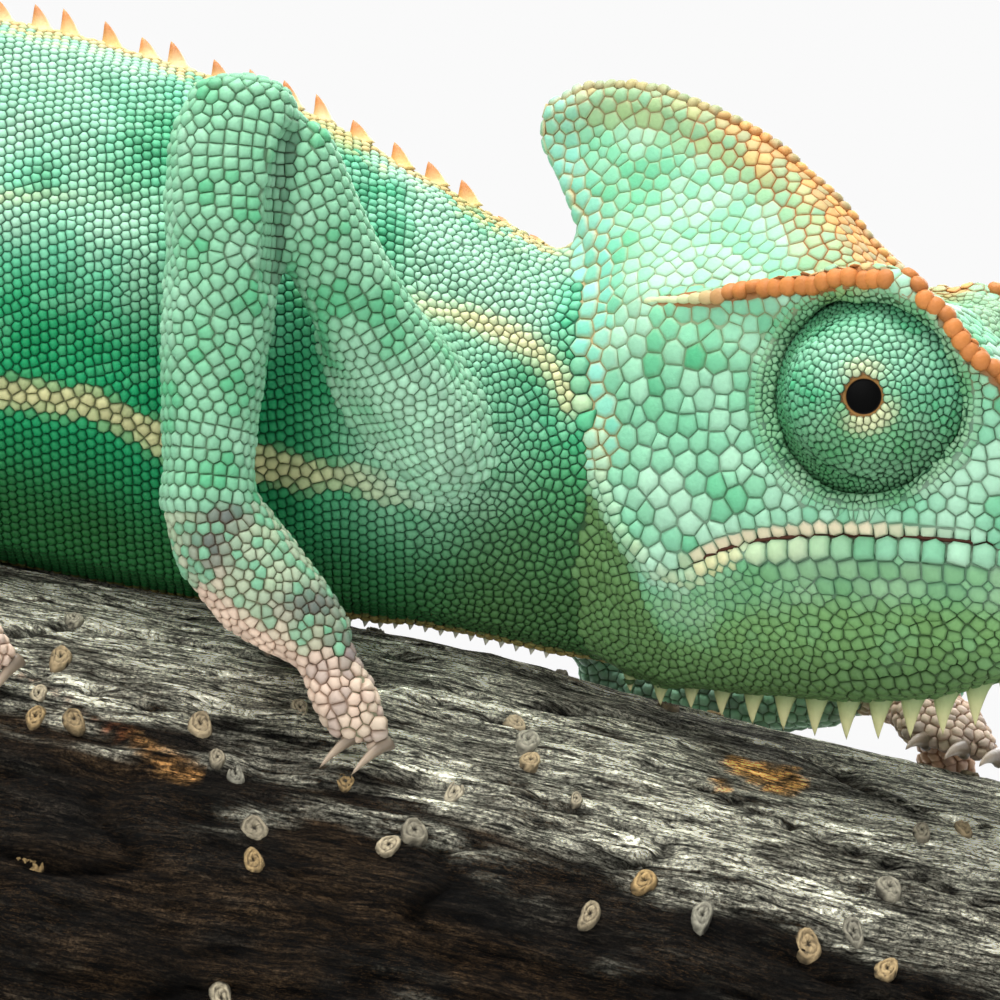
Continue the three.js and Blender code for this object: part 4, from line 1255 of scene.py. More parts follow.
def all_seeds():
    """Places for all scales: set rows first, then rings, then the gaps."""
    own = settings("scales")
    random = np.random.default_rng(11)
    seeds = Seeds()
    head_rows(seeds)
    zone = SURFACE["zone"]
    cloud = sample_skin(zone == ZONES.index("head"), 18, random)
    radius = head_radius(world_to_head(cloud))
    taken, taken_radius, *_ = seeds.joined()
    points, sizes = fill_gaps(cloud, radius, taken, taken_radius, (1.0, 0.86, 0.72, 0.6))
    crown = world_to_head(points)
    low = 1 - 0.5 * step(crown[:, 2], 98, 105) * step(crown[:, 0], -2, 6)
    seeds.add(points, sizes, False, (0.85 + 0.3 * step(-sizes, -0.6, -0.3)) * low,
              0.62 - 0.4 * step(crown[:, 2], 99, 105))

    trunk_seeds(seeds, own.flank / MM, random)
    for number, name in enumerate(FLESH):
        if name.startswith("tail_") and name != "tail_1":
            chain, ways = tail_chain(name)
            pitch = own.tail / MM
            if name == "tail_5":
                chain, ways, pitch = chain[:-1], ways[:-1], pitch * 0.66
            ring_lattice(chain, ways, pitch, lambda o, n=number: o == n, seeds)
        elif zone_of(name) == "limb":
            chain, ways = node_axis(name)
            ring_lattice(chain, ways, own.limb / MM, lambda o, n=number: o == n, seeds, 0.6,
                         12.4)
    coiled = [i for i, n in enumerate(FLESH) if n.startswith("tail_") and n != "tail_1"]
    rest = (zone != ZONES.index("head")) & ~np.isin(SURFACE["owner"], coiled)
    cloud = sample_skin(rest, 15, random)
    cloud, _, owner = on_skin(cloud)
    radius, soft = body_radius(cloud, owner)
    taken, taken_radius, *_ = seeds.joined()
    points, sizes = fill_gaps(cloud, radius, taken, taken_radius, (1.0, 0.86, 0.72, 0.6))
    _, _, owner = on_skin(points)
    _, soft = body_radius(points, owner)
    seeds.add(points, sizes, False, 1.0, soft)
    return seeds


def tail_chain(name):
    """Centres along one curved length of tail, from its middle plane."""
    verts, _, _ = node_arrays(name)
    turned = coil_angles(verts[:, [0, 2]] - COIL)
    chain = slice_centres(verts, turned, np.linspace(0, turned.max() + 1e-6, 13), 3)
    chain[:, 1] = 0
    return chain, unit(np.gradient(chain, axis=0))


def plane_axes(normals):
    """Two directions across each normal."""
    hint = np.where(np.abs(normals[:, 2:3]) < 0.9, [[0.0, 0, 1]], [[1.0, 0, 0]])
    first = unit(np.cross(hint, normals))
    return first, np.cross(normals, first)


def clip_cells(px, py, count, nx, ny, limit):
    """Cuts many convex outlines, one half-plane each (nx x + ny y <= limit)."""
    slots = np.arange(px.shape[1])
    valid = slots < count[:, None]
    after = np.where(slots + 1 < count[:, None], slots + 1, 0)
    gap = nx[:, None] * px + ny[:, None] * py - limit[:, None]
    next_gap = np.take_along_axis(gap, after, 1)
    stays = valid & (gap <= 0)
    crosses = valid & ((gap <= 0) != (next_gap <= 0))
    t = gap / np.where(crosses, gap - next_gap, 1)
    cut_x = px + t * (np.take_along_axis(px, after, 1) - px)
    cut_y = py + t * (np.take_along_axis(py, after, 1) - py)
    all_x = np.stack([px, cut_x], 2).reshape(len(px), -1)
    all_y = np.stack([py, cut_y], 2).reshape(len(py), -1)
    keep = np.stack([stays, crosses], 2).reshape(len(px), -1)
    order = np.argsort(~keep, axis=1, kind="stable")[:, :px.shape[1]]
    return (np.take_along_axis(all_x, order, 1), np.take_along_axis(all_y, order, 1),
            np.minimum(keep.sum(1), px.shape[1]))


def cells(points, normals, radius, around=13):
    """Outline of the cell that each scale fills between its neighbours, in its own plane."""
    total = len(points)
    tree = point_tree(points)
    near = np.zeros((total, around), int)
    for i, p in enumerate(points.tolist()):
        found = [j for _, j, _ in tree.find_n(p, around + 1) if j != i][:around]
        near[i, :len(found)] = found
        near[i, len(found):] = i
    apart = points[near] - points[:, None]
    gap = np.linalg.norm(apart, axis=2) + 1e-9
    rise = (apart * normals[:, None]).sum(2)
    facing = (normals[near] * normals[:, None]).sum(2)
    good = (near != np.arange(total)[:, None]) & (facing > -0.1) & (np.abs(rise) < 0.88 * gap)
    first, second = plane_axes(normals)
    x = (apart * first[:, None]).sum(2)
    y = (apart * second[:, None]).sum(2)
    flat = np.hypot(x, y) + 1e-9
    x, y = x / flat * gap, y / flat * gap
    share = 0.5 + (radius[:, None] ** 2 - radius[near] ** 2) / (2 * gap ** 2)
    share = np.clip(share, 0.12, 0.88)

    sides = 8
    turn = (np.arange(sides) + 0.5) / sides * TURN
    px = np.zeros((total, SLOTS))
    py = np.zeros((total, SLOTS))
    px[:, :sides] = radius[:, None] * 1.9 * np.cos(turn)
    py[:, :sides] = radius[:, None] * 1.9 * np.sin(turn)
    count = np.full(total, sides)
    for k in range(around):
        use = good[:, k]
        ux, uy = x[use, k] / gap[use, k], y[use, k] / gap[use, k]
        cut = clip_cells(px[use], py[use], count[use], ux, uy, share[use, k] * gap[use, k])
        px[use], py[use], count[use] = cut
    weight = good * np.exp(-(gap / (3.5 * radius[:, None])) ** 2)
    terms = np.stack([x * x, x * y, y * y], 2)
    left = np.einsum("nk,nki,nkj->nij", weight, terms, terms)
    left += np.eye(3) * (1e-4 + 1e-3 * radius[:, None, None] ** 4)
    right = np.einsum("nk,nki,nk->ni", weight, terms, rise)
    bend = np.linalg.solve(left, right[..., None])[..., 0]
    return px, py, count, bend, first, second


def cell_centres(px, py, count):
    """Centre and area of each cell."""
    slots = np.arange(px.shape[1])
    valid = slots < count[:, None]
    after = np.where(slots + 1 < count[:, None], slots + 1, 0)
    nx, ny = np.take_along_axis(px, after, 1), np.take_along_axis(py, after, 1)
    cross = (px * ny - nx * py) * valid
    area = cross.sum(1) / 2
    safe = np.where(area > 1e-6, area, 1)
    cx = ((px + nx) * cross).sum(1) / (6 * safe)
    cy = ((py + ny) * cross).sum(1) / (6 * safe)
    good = area > 1e-6
    return cx * good, cy * good, area


# half width of each scale's own patch in the map for baking
BAKE_PATCH = 0.0011
# rings of a scale: reach, lift, roundness and share of the crown's colour; the low share at the
# foot keeps the darker groove colour, partly painted shade round each dome
PLATE = ((0.985, -0.3, 0.0, 0.0), (0.93, 0.55, 0.04, 0.62), (0.66, 0.94, 0.15, 1.0))
BEAD = ((0.97, -0.3, 0.0, 0.0), (0.84, 0.52, 0.3, 0.6), (0.5, 0.9, 0.6, 1.0))
LOW_PLATE = (PLATE[0], (0.88, 0.72, 0.06, 0.78))
LOW_BEAD = (BEAD[0], (0.74, 0.74, 0.3, 0.9))
OVAL = ((1.0, -0.5, 0.0, 0.1), (1.0, 0.12, 0.0, 0.55), (0.9, 0.55, 0.0, 0.85),
        (0.62, 0.88, 0.0, 1.0))


def scale_arrays(cell, points, normals, crown, groove, height, soft, rings, bake):
    """Domed scale in each cell: rings of corners that rise to a crown, closed underneath."""
    px, py, count, bend, first, second = cell
    verts, colours_out, uvs, faces = [], [], [], {3: [], 4: []}
    bottoms = []
    base = 0
    for corners in range(3, 13):
        own = np.nonzero(count == corners)[0]
        if not len(own):
            continue
        x, y = px[own, :corners], py[own, :corners]
        mean = np.hypot(x, y).mean(1, keepdims=True)
        size = np.hypot(x, y) + 1e-9
        round_share = soft[own, None]
        stack, tints, flats = [], [], []
        for plate, bead in zip(*rings):
            reach, lift, rounding, tint = (a + (b - a) * round_share for a, b in zip(plate, bead))
            grow = reach * ((1 - rounding) + rounding * mean / size)
            rx, ry = x * grow, y * grow
            curve = (bend[own, 0, None] * rx * rx + bend[own, 1, None] * rx * ry
                     + bend[own, 2, None] * ry * ry)
            rise = curve + lift * height[own, None]
            stack.append(points[own, None] + rx[..., None] * first[own, None]
                         + ry[..., None] * second[own, None] + rise[..., None] * normals[own, None])
            tints.append(np.repeat(blend(groove[own], crown[own], tint[:, 0])[:, None], corners, 1))
            flats.append(np.stack([rx / mean, ry / mean], 2))
        top = points[own] + normals[own] * height[own, None]
        block = np.concatenate(stack + [top[:, None]], 1)
        per = block.shape[1]
        verts.append(block.reshape(-1, 3))
        # The apex is 4% brighter than the crown: a faint painted highlight on top of each dome.
        colours_out.append(np.concatenate(tints + [crown[own][:, None] * 1.04], 1).reshape(-1, 3))
        flat = np.concatenate(flats + [np.zeros((len(own), 1, 2))], 1)
        uvs.append((bake[own][:, None] + flat * BAKE_PATCH).reshape(-1, 2))
        starts = base + np.arange(len(own))[:, None] * per
        ring = np.arange(corners)
        after = (ring + 1) % corners
        levels = len(stack)
        for level in range(levels - 1):
            low, high = level * corners, (level + 1) * corners
            quad = np.stack([ring + low, after + low, after + high, ring + high], 1)
            faces[4].append((starts[:, None] + quad).reshape(-1, 4))
        low = (levels - 1) * corners
        tri = np.stack([ring + low, after + low, np.full(corners, per - 1)], 1)
        faces[3].append((starts[:, None] + tri).reshape(-1, 3))
        bottoms.append(starts + ring[::-1])
        base += len(own) * per
    polygons = [np.vstack(faces[4]), np.vstack(faces[3])] + bottoms
    return np.vstack(verts), polygons, np.vstack(colours_out), np.vstack(uvs)


def coat_of(owner, points):
    """Name of the coat piece that a scale belongs to."""
    name = FLESH[owner]
    zone = zone_of(name)
    side = "right" if points[1] < 0 else "left"
    if zone == "head":
        face = "right" if world_to_head(points)[1] < 0 else "left"
        part = {"casque": "casque", "head_upper": "face", "lower_jaw": "jaw"}[name]
        return f"scales_{part}_{face}"
    if zone == "neck":
        return "scales_neck"
    if zone == "trunk":
        return f"scales_{name}_{side}"
    if zone == "tail":
        return "scales_tail"
    front = "fore" in name or "arm" in name or "hand" in name
    end = name.rsplit("_", 1)[1]
    return f"scales_{'fore' if front else 'hind'}leg_{end}"


def bake_places(coat, wanted, points):
    """Place of each scale's root on an unwrap of its stretch of skin."""
    verts, quads = SURFACE["verts"], SURFACE["quads"]
    faces = quads[wanted[quads].any(1)]
    used = np.unique(faces)
    lookup = np.zeros(len(verts), int)
    lookup[used] = np.arange(len(used))
    patch = new_mesh(coat + "_unwrap", verts[used], [lookup[faces]])
    edit_all(patch, bpy.ops.uv.smart_project, angle_limit=math.radians(70), island_margin=0.004)
    uv = rows_of(patch.data.uv_layers.active.data, "uv", 2).reshape(-1, 4, 2)
    tree = tree_of(verts[used], lookup[faces])
    place = np.zeros((len(points), 2))
    for i, p in enumerate(points.tolist()):
        spot, _, face, _ = tree.find_nearest(p)
        gap = np.linalg.norm(verts[used][lookup[faces[face]]] - np.array(spot), axis=1) + 0.01
        near = 1 / gap ** 2
        place[i] = (uv[face] * (near / near.sum())[:, None]).sum(0)
    bpy.data.objects.remove(patch)
    return 0.004 + place * 0.992


def mouth_line(side):
    """Thin dark cord of shadowed skin where the lips meet."""
    row = side_row(MOUTH, 0.25, side, 0.9)
    points, normals, _ = on_skin(row[~np.isnan(row[:, 0])])
    along = unit(np.gradient(points, axis=0))
    sides = 8
    turn = turns(sides)[:, None]
    run = np.linspace(0, 1, len(points))
    thick = 0.13 * step(run, 0, 0.06) * step(-run, -1, -0.96) + 0.01
    across = np.cross(normals, along)
    rings = (points + 0.07 * normals)[:, None] + thick[:, None, None] * (
        np.cos(turn) * across[:, None] + np.sin(turn) * normals[:, None])
    ring = np.arange(sides)
    ends = np.stack([ring[::-1], ring + (len(points) - 1) * sides])
    tints = np.repeat(rgb(78, 42, 28)[None], len(points) * sides, 0)
    line = new_mesh(f"mouth_line_{SIDES[side]}", rings.reshape(-1, 3),
                    [tube_quads(sides, len(points)), ends], tints)
    face_outward(line)
    finish_piece(line, skin_material(), "head")


class CHAMELEON_OT_scales(bpy.types.Operator):
    """Covers the skin with domed scales that fill the cells between their neighbours"""
    bl_idname = "chameleon.scales"
    bl_label = "Scales"

    def execute(self, context):
        own = settings("scales")
        points, radius, fixed, height, soft = all_seeds().joined()
        points, normals, owner = on_skin(points)
        for _ in range(own.relax):
            px, py, count, _, first, second = cells(points, normals, radius)
            cx, cy, _ = cell_centres(px, py, count)
            moved = points + cx[:, None] * first + cy[:, None] * second
            free = ~fixed
            moved, ways, owners = on_skin(moved[free])
            points[free], normals[free], owner[free] = moved, ways, owners
        cell = cells(points, normals, radius)
        _, _, area = cell_centres(*cell[:3])
        keep = (area > 0.02) & (soft > HIDDEN)
        zone = np.array([ZONES.index(zone_of(FLESH[i])) for i in owner])
        toes = np.array([FLESH[i].startswith("toes") for i in owner]).astype(float)
        random = np.random.default_rng(29)
        luck = random.random(len(points))
        crown, groove = marking(points, zone, luck, toes)
        tall = np.array([HEIGHTS[name] for name in ZONES])[zone]
        size = np.sqrt(np.maximum(area, 1e-4))
        tall = tall * height * np.clip(size / 0.8, 0.55, 1.3)
        names = np.array([coat_of(o, p) for o, p in zip(owner, points)])
        for coat in sorted(set(names)):
            is_head = coat.startswith(("scales_casque", "scales_face", "scales_jaw"))
            in_coat = (names == coat) & keep
            near = coat.endswith("right") and "hind" not in coat and "rear" not in coat
            large = in_coat & (near | (size > (0.7 if is_head else 1.1)))
            wanted = np.isin(SURFACE["owner"], np.unique(owner[in_coat]))
            bake = np.zeros((len(points), 2))
            bake[in_coat] = bake_places(coat, wanted, points[in_coat])
            parts = []
            for mine, rings in ((large, (PLATE, BEAD)), (in_coat & ~large, (LOW_PLATE, LOW_BEAD))):
                mine = np.nonzero(mine)[0]
                if len(mine):
                    parts.append(scale_arrays(tuple(column[mine] for column in cell), points[mine],
                                              normals[mine], crown[mine], groove[mine], tall[mine],
                                              soft[mine], rings, bake[mine]))
            if coat.startswith("scales_face"):
                parts.append(brow_chain(-1 if coat.endswith("right") else 1, coat, wanted))
            piece = new_mesh(coat, *merged(parts))
            kind = "head" if is_head else "limb" if "leg" in coat else "flesh"
            finish_piece(piece, scale_material(), kind)
        for side in SIDES:
            mouth_line(side)
        return {"FINISHED"}


# ---- eyes ------------------------------------------------------------------------------------
def turret_point(side, polar, turn):
    """Point of an eye turret: angle from its look, angle round it, both in radians."""
    look, up, across = look_axes(side)
    way = (np.cos(polar)[..., None] * look
           + np.sin(polar)[..., None] * (np.cos(turn)[..., None] * up
                                         + np.sin(turn)[..., None] * across))
    outward = unit(head_to_world([0, side, 0]) - head_to_world([0, 0, 0]))
    lateral = np.arccos(np.clip(way @ outward, -1, 1))
    radius = EYE_RADIUS - 0.28 + 0.16 * hill(polar - 0.36, 0.14)
    for where, deep, centre in ((0.98, 0.1, 3.9), (1.1, 0.2, 3.7), (1.2, 0.14, 3.4),
                                (1.08, 0.16, 1.6), (1.17, 0.12, 1.4)):
        bias = step(np.cos(turn - centre), -0.1, 0.7)
        radius = radius - deep * bias * hill(polar - where, 0.026)
    radius = radius + 0.75 * step(lateral, 1.12, 1.5)
    return eye_centre(side) + way * radius[..., None], way


def turret_angles(side, points):
    """Angle from the look and angle round it of points on or near a turret."""
    look, up, across = look_axes(side)
    way = unit(points - eye_centre(side))
    return np.arccos(np.clip(way @ look, -1, 1)), np.arctan2(way @ across, way @ up)


def turret_marks(polar, turn, luck):
    """Colours of crown and groove on an eye turret, with painted light: paler on its upper side,
    darker on its lower side and towards its rim, and darker grooves as painted shade.
    """
    hue = colours()
    ways = np.column_stack([np.sin(polar) * np.cos(turn), np.sin(polar) * np.sin(turn),
                            np.cos(polar)])
    patch = field(ways, 0.42, 81.0, 2)
    green = clamp01(0.3 + 0.5 * patch + 0.3 * (luck - 0.5))
    base = blend(hue.mint * 0.95, hue.emerald, green)
    # Paler on the upper side of the turret: painted light from above.
    base = blend(base, hue.pale, 0.4 * step(np.cos(turn), -0.1, 0.8) * step(-polar, -1.1, -0.8))
    # Yellower and darker on the lower side: the darkening is painted shade.
    low = step(-np.cos(turn), -0.2, 0.8)
    base = blend(base, hue.throat, 0.4 * low) * (1 - 0.3 * low * step(polar, 0.5, 0.9))[:, None]
    # Belly green towards the turret's rim: painted shade in the crease round its base.
    base = blend(base, hue.belly, 0.55 * step(polar, 0.95, 1.4))
    above = hill(np.cos(turn) - 1, 0.25) * 0.8 + hill(np.cos(turn - 3.5) - 1, 0.5)
    pale = step(-polar, -0.5, -0.32) * clamp01(0.05 + above)
    base = blend(base, blend(hue.cream, hue.pale, 0.35), 0.85 * clamp01(pale))
    base = base * (1 + 0.24 * (luck[:, None] - 0.5))
    # Grooves: darker copies of the crowns, darkest towards the rim, painted shade between the
    # granules.
    return base, blend(base * 0.42, hue.deep * 0.3, step(polar, 0.9, 1.4))


class CHAMELEON_OT_eyes(bpy.types.Operator):
    """Makes the scaly eye turrets, the lid rims and the eyeballs behind them"""
    bl_idname = "chameleon.eyes"
    bl_label = "Eyes"

    def execute(self, context):
        for side, name in SIDES.items():
            self.turret(side, name)
            self.eyeball(side, name)
        return {"FINISHED"}

    def turret(self, side, name):
        rings, around, pupil = 64, 96, 0.232
        polar = np.linspace(pupil, 2.0, rings)
        grid = np.meshgrid(polar, turns(around), indexing="ij")
        polar, turn = (part.ravel() for part in grid)
        verts, ways = turret_point(side, polar, turn)
        verts = verts - ways * (0.5 * hill(polar - pupil, 0.03))[:, None]
        # The lid skin takes the turret's groove colour, 10% darker: partly its own colour, partly
        # painted shade.
        _, groove = turret_marks(polar, turn, np.full(len(polar), 0.5))
        groove = blend(groove * 0.9, rgb(150, 106, 62), step(-polar, -0.29, -0.25))
        quads = tube_quads(around, rings, flip=True)
        lid = new_mesh(f"turret_skin_{name}", verts, [quads], groove)
        face_outward(lid)
        finish_piece(lid, skin_material(), "turret", f"eye_turret_{name}")

        random = np.random.default_rng(5 + side)
        ways = unit(random.normal(0, 1, (26000, 3)))
        polar, turn = turret_angles(side, eye_centre(side) + ways)
        good = (polar > 0.27) & (polar < 1.85)
        polar, turn = polar[good], turn[good]
        cloud, _ = turret_point(side, polar, turn)
        largest = settings("scales").turret / MM / 2
        radius = largest * (0.72 + 0.28 * step(polar, 0.4, 0.7) - 0.36 * step(polar, 0.95, 1.35))
        points, sizes = fill_gaps(cloud, radius, np.zeros((0, 3)), [], (1.0, 0.8))
        for _ in range(settings("scales").relax):
            px, py, count, _, first, second = cells(points, unit(points - eye_centre(side)), sizes)
            cx, cy, _ = cell_centres(px, py, count)
            polar, turn = turret_angles(side, points + cx[:, None] * first + cy[:, None] * second)
            points, _ = turret_point(side, np.clip(polar, 0.275, 1.9), turn)
        polar, turn = turret_angles(side, points)
        points, ways = turret_point(side, polar, turn)
        near = 0.02
        ahead, _ = turret_point(side, polar + near, turn)
        behind, _ = turret_point(side, polar - near, turn)
        right, _ = turret_point(side, polar, turn + near)
        left, _ = turret_point(side, polar, turn - near)
        normals = unit(np.cross(ahead - behind, right - left))
        normals = normals * np.sign((normals * ways).sum(1, keepdims=True))
        cell = cells(points, normals, sizes)
        luck = random.random(len(points))
        crown, groove = turret_marks(polar, turn, luck)
        height = HEIGHTS["turret"] * (0.8 + 0.4 * luck) * sizes / largest
        bake = 0.5 + 0.22 * np.column_stack([polar * np.cos(turn), polar * np.sin(turn)])
        arrays = scale_arrays(cell, points, normals, crown, groove, height,
                              np.ones(len(points)), (LOW_PLATE, LOW_BEAD), bake)
        coat = new_mesh(f"scales_turret_{name}", *arrays)
        finish_piece(coat, scale_material(), "turret")

    def eyeball(self, side, name):
        look, up, across = look_axes(side)
        profile = [(0.0, 5.55), (0.6, 5.52), (1.0, 5.46), (1.14, 5.42), (1.2, 5.48), (1.36, 5.5),
                   (1.5, 5.35), (1.6, 4.9), (1.3, 4.4), (0.0, 4.2)]
        shades = ([rgb(3, 3, 3)] * 4 + [rgb(150, 110, 62), rgb(176, 136, 84)]
                  + [rgb(46, 34, 22)] * 4)
        around = 40
        turn = turns(around)[:, None]
        ways = np.cos(turn) * up + np.sin(turn) * across
        verts, tints = [eye_centre(side) + look * profile[0][1]], [shades[0]]
        for (reach, out), tint in zip(profile[1:-1], shades[1:-1]):
            verts += list(eye_centre(side) + look * out + ways * reach)
            tints += [tint] * around
        verts.append(eye_centre(side) + look * profile[-1][1])
        tints.append(shades[-1])
        last = 1 + (len(profile) - 3) * around
        faces = [fan(around, 1, 0), fan(around, last, len(verts) - 1, flip=True),
                 tube_quads(around, len(profile) - 2, 1, flip=True)]
        ball = new_mesh(f"eyeball_{name}", np.array(verts), faces, np.array(tints))
        face_outward(ball)
        finish_piece(ball, eye_material(), "pupil", f"eye_{name}")


# ---- crests and claws ------------------------------------------------------------------------
ABOVE = 140


def horn_arrays(root, tip, side_way, wide, thick, bow, sides=12, rings=8, blunt=0.85):
    """Curved pointed horn from root to tip, oval in section."""
    axis = unit(tip - root)
    wide_way = unit(side_way - axis * (side_way @ axis))
    thin_way = np.cross(axis, wide_way)
    size = np.linalg.norm(tip - root)
    turn = turns(sides)[:, None]
    runs = np.linspace(0, 1, rings, endpoint=False)
    verts = []
    for t in runs:
        share = (1 - t) ** blunt * (1 + 0.2 * math.exp(-(t / 0.15) ** 2))
        centre = root + axis * size * t + wide_way * bow * 4 * t * (1 - t)
        verts.append(centre + np.cos(turn) * wide_way * wide * share
                     + np.sin(turn) * thin_way * thick * share)
    verts = np.vstack(verts + [tip[None], root[None]])
    faces = [tube_quads(sides, rings), fan(sides, (rings - 1) * sides, len(verts) - 2),
             fan(sides, 0, len(verts) - 1, flip=True)]
    return verts, faces, np.concatenate([np.repeat(runs, sides), [1, 0]])


def join_horns(name, horns, tints):
    """One piece of many horns, each with its colour at the root and at the tip."""
    return new_mesh(name, *merged([(points, faces, blend(low, high, step(along, 0.1, 0.8)))
                                   for (points, faces, along), (low, high) in zip(horns, tints)]))


def skin_along(origin, way):
    """Where one straight line meets the skin."""
    return shoot(np.array([origin], float), unit(np.array([way], float)))[0]


class CHAMELEON_OT_crests(bpy.types.Operator):
    """Makes the spines of the back, throat and belly crests"""
    bl_idname = "chameleon.crests"
    bl_label = "Crests"

    def execute(self, context):
        self.back()
        self.throat()
        self.belly()
        return {"FINISHED"}

    def back(self):
        hue = colours()
        random = np.random.default_rng(3)
        horns, tints = [], []
        forward = np.array([1.0, 0, 0])
        for x in np.arange(37.5, -72, -2.5):
            root = skin_along([x + random.uniform(-0.35, 0.35), 0, ABOVE], [0, 0, -1])
            fade = (0.5 + 0.5 * step(x, -72, -20)) * (0.25 + 0.75 * step(-x, -35.5, -32))
            tall = 1.7 * fade * random.uniform(0.75, 1.08)
            tip = root + [-0.4, random.normal(0, 0.08), 0.15 + tall]
            wide = 0.95 * random.uniform(0.8, 1.05) * (0.6 + 0.4 * fade)
            horns.append(horn_arrays(root - [0, 0, 0.35], tip, forward, wide, 0.72, 0.1, blunt=0.8))
            low = blend(hue.yellow, hue.cream, random.random())
            tints.append((low, hue.orange * random.uniform(0.85, 1.05)))
        for count, x in enumerate(np.arange(-75, -98, -2.3)):
            root = skin_along([x, 0, ABOVE], [0, 0, -1])
            if np.isnan(root[0]) or root[2] < 90:
                continue
            tip = root + [-0.2, 0, 1.15 - 0.03 * count]
            horns.append(horn_arrays(root - [0, 0, 0.3], tip, forward, 0.62, 0.48, 0.05))
            tints.append((hue.cream, hue.yellow))
        piece = join_horns("back_crest", horns, tints)
        finish_piece(piece, horn_material(), "flesh")

    def throat(self):
        hue = colours()
        random = np.random.default_rng(7)
        horns, tints = [], []
        side = unit(head_to_world([1, 0, 0]) - head_to_world([0, 0, 0]))
        for x in np.arange(39.5, 2.5, -2.33):
            start = head_to_world([x, 0, 60])
            root = skin_along(start, head_to_world([x, 0, 90]) - start)
            if np.isnan(root[0]):
                continue
            size = 0.28 + 0.72 * step(x, 1, 21)
            lean = 0.8 if x > 33 else 0.1
            down = unit(head_to_world([x + lean - 0.3, 0, 60]) - head_to_world([x, 0, 63.0]))
            tip = root + down * (2.6 * size + 0.15) + [0, random.normal(0, 0.06), 0]
            wide = 1.08 * (0.5 + 0.5 * size)
            horns.append(horn_arrays(root - down * 0.5, tip, side, wide, wide * 0.5, -0.1,
                                     blunt=0.95))
            low = blend(hue.throat * 0.75, hue.cream, 0.15)
            tints.append((low, blend(hue.cream, hue.throat, 0.35)))
        piece = join_horns("throat_crest", horns, tints)
        finish_piece(piece, horn_material(), "head")

    def belly(self):
        hue = colours()
        horns, tints = [], []
        for x in np.arange(38.0, -50, -1.05):
            root = skin_along([x, 0, 40], [0, 0, 1])
            if np.isnan(root[0]) or root[2] - perch_gap(x) < 0.9:
                continue
            tall = min(0.6, root[2] - perch_gap(x) - 0.3)
            horns.append(horn_arrays(root + [0, 0, 0.3], root - [0.1, 0, tall],
                                     np.array([1.0, 0, 0]), 0.42, 0.4, 0.03))
            tints.append((hue.throat, rgb(250, 246, 226)))
        piece = join_horns("belly_crest", horns, tints)
        finish_piece(piece, horn_material(), "flesh")


class CHAMELEON_OT_claws(bpy.types.Operator):
    """Makes the curved horn claws over the claw solids"""
    bl_idname = "chameleon.claws"
    bl_label = "Claws"

    def execute(self, context):
        tint = colours().claw
        groups = {}
        for name in sorted(NODES):
            if name.startswith("claw_"):
                pair, side = name.split("_")[-2:]
                groups.setdefault(f"{pair}_{side}", []).append(name)
        for foot, names in groups.items():
            horns = [self.claw(name, foot) for name in names]
            piece = join_horns(f"claws_{foot}", horns, [(tint * 0.8, tint * 1.7)] * len(horns))
            finish_piece(piece, claw_material(), "claw", *names)
        return {"FINISHED"}

    def claw(self, name, foot):
        verts, _, _ = node_arrays(name)
        toes, _, _ = node_arrays(f"toes_{name.split('_')[1]}_{foot}")
        middle, _, run = long_way(verts)
        ends = [verts[run < np.quantile(run, 0.12)].mean(0),
                verts[run > np.quantile(run, 0.88)].mean(0)]
        near = [np.linalg.norm(toes - end, axis=1).min() for end in ends]
        root, tip = (ends[0], ends[1]) if near[0] < near[1] else (ends[1], ends[0])
        out = unit(np.array([0, middle[1], middle[2] - perch_axis(middle[0])]))
        axis = unit(tip - root)
        return horn_arrays(root - axis * 0.9, tip + axis * 0.15, out, 0.62, 0.44, 0.32, rings=10,
                           blunt=0.7)


# ---- perch -----------------------------------------------------------------------------------
def perch_axis(x):
    """Height of the branch's axis."""
    own = settings("perch")
    return (own.axis / MM - math.tan(own.slope) * x
            + own.bow / MM * hill(x - 28, 24))


def perch_radius(x, angle):
    own = settings("perch")
    broad = 0.35 * np.sin(3 * angle + x / 31) + 0.25 * np.cos(5 * angle - x / 19)
    top = np.maximum(0, np.cos(angle))
    return own.radius / MM + broad * (1 - top)


def perch_gap(x):
    """Height of the branch's top over the floor in the middle plane."""
    own = settings("perch")
    return perch_axis(x) + own.radius / MM / math.cos(own.slope)


def perch_height(points):
    """How far points stand off the bark."""
    own = settings("perch")
    x = points[:, 0] - (points[:, 2] - perch_axis(points[:, 0])) * math.sin(own.slope)
    off = (points[:, 2] - perch_axis(x)) * math.cos(own.slope)
    return np.hypot(off, points[:, 1]) - own.radius / MM


def on_perch(x, angle, lift):
    """Points over the branch: place along it, angle from its top, lift."""
    own = settings("perch")
    r = perch_radius(x, angle) + lift
    return np.stack([x + r * math.sin(own.slope) * np.cos(angle), r * np.sin(angle),
                     perch_axis(x) + r * math.cos(own.slope) * np.cos(angle)], -1)


# millimetres of bark for each radian, where the bark is laid out flat
UNROLL = 26


def bark_flat(x, angle):
    """Unrolled place on the bark, with slow waves across the grain."""
    flat = np.column_stack([x.ravel(), (angle * UNROLL).ravel(), np.zeros(x.size)])
    flat[:, 1] += 2.2 * field(flat * [0.045, 0.09, 1], 1, 61)
    return flat


def bark_lift(x, angle):
    """Relief of the bark: long ribs, splits, fine fibres, a few broad dents and a low crown."""
    flat = bark_flat(x, angle)
    ribs = 1 - 3 * np.abs(field(flat * [0.045, 0.34, 1], 1, 51))
    fine = 1 - 3 * np.abs(field(flat * [0.14, 0.9, 1], 1, 53, 2))
    broad = field(flat * [0.03, 0.06, 1], 1, 55)
    flank = 1 - 0.45 * step(np.cos(angle.ravel()), 0.6, 0.85)
    lift = (0.42 * ribs + 0.24 * fine) * flank + 0.3 * broad - 0.24 - 0.7 * bark_splits(flat)
    crown = hill(angle, 0.34) * step(-x, -40, -28)
    return lift.reshape(x.shape) + 0.45 * crown


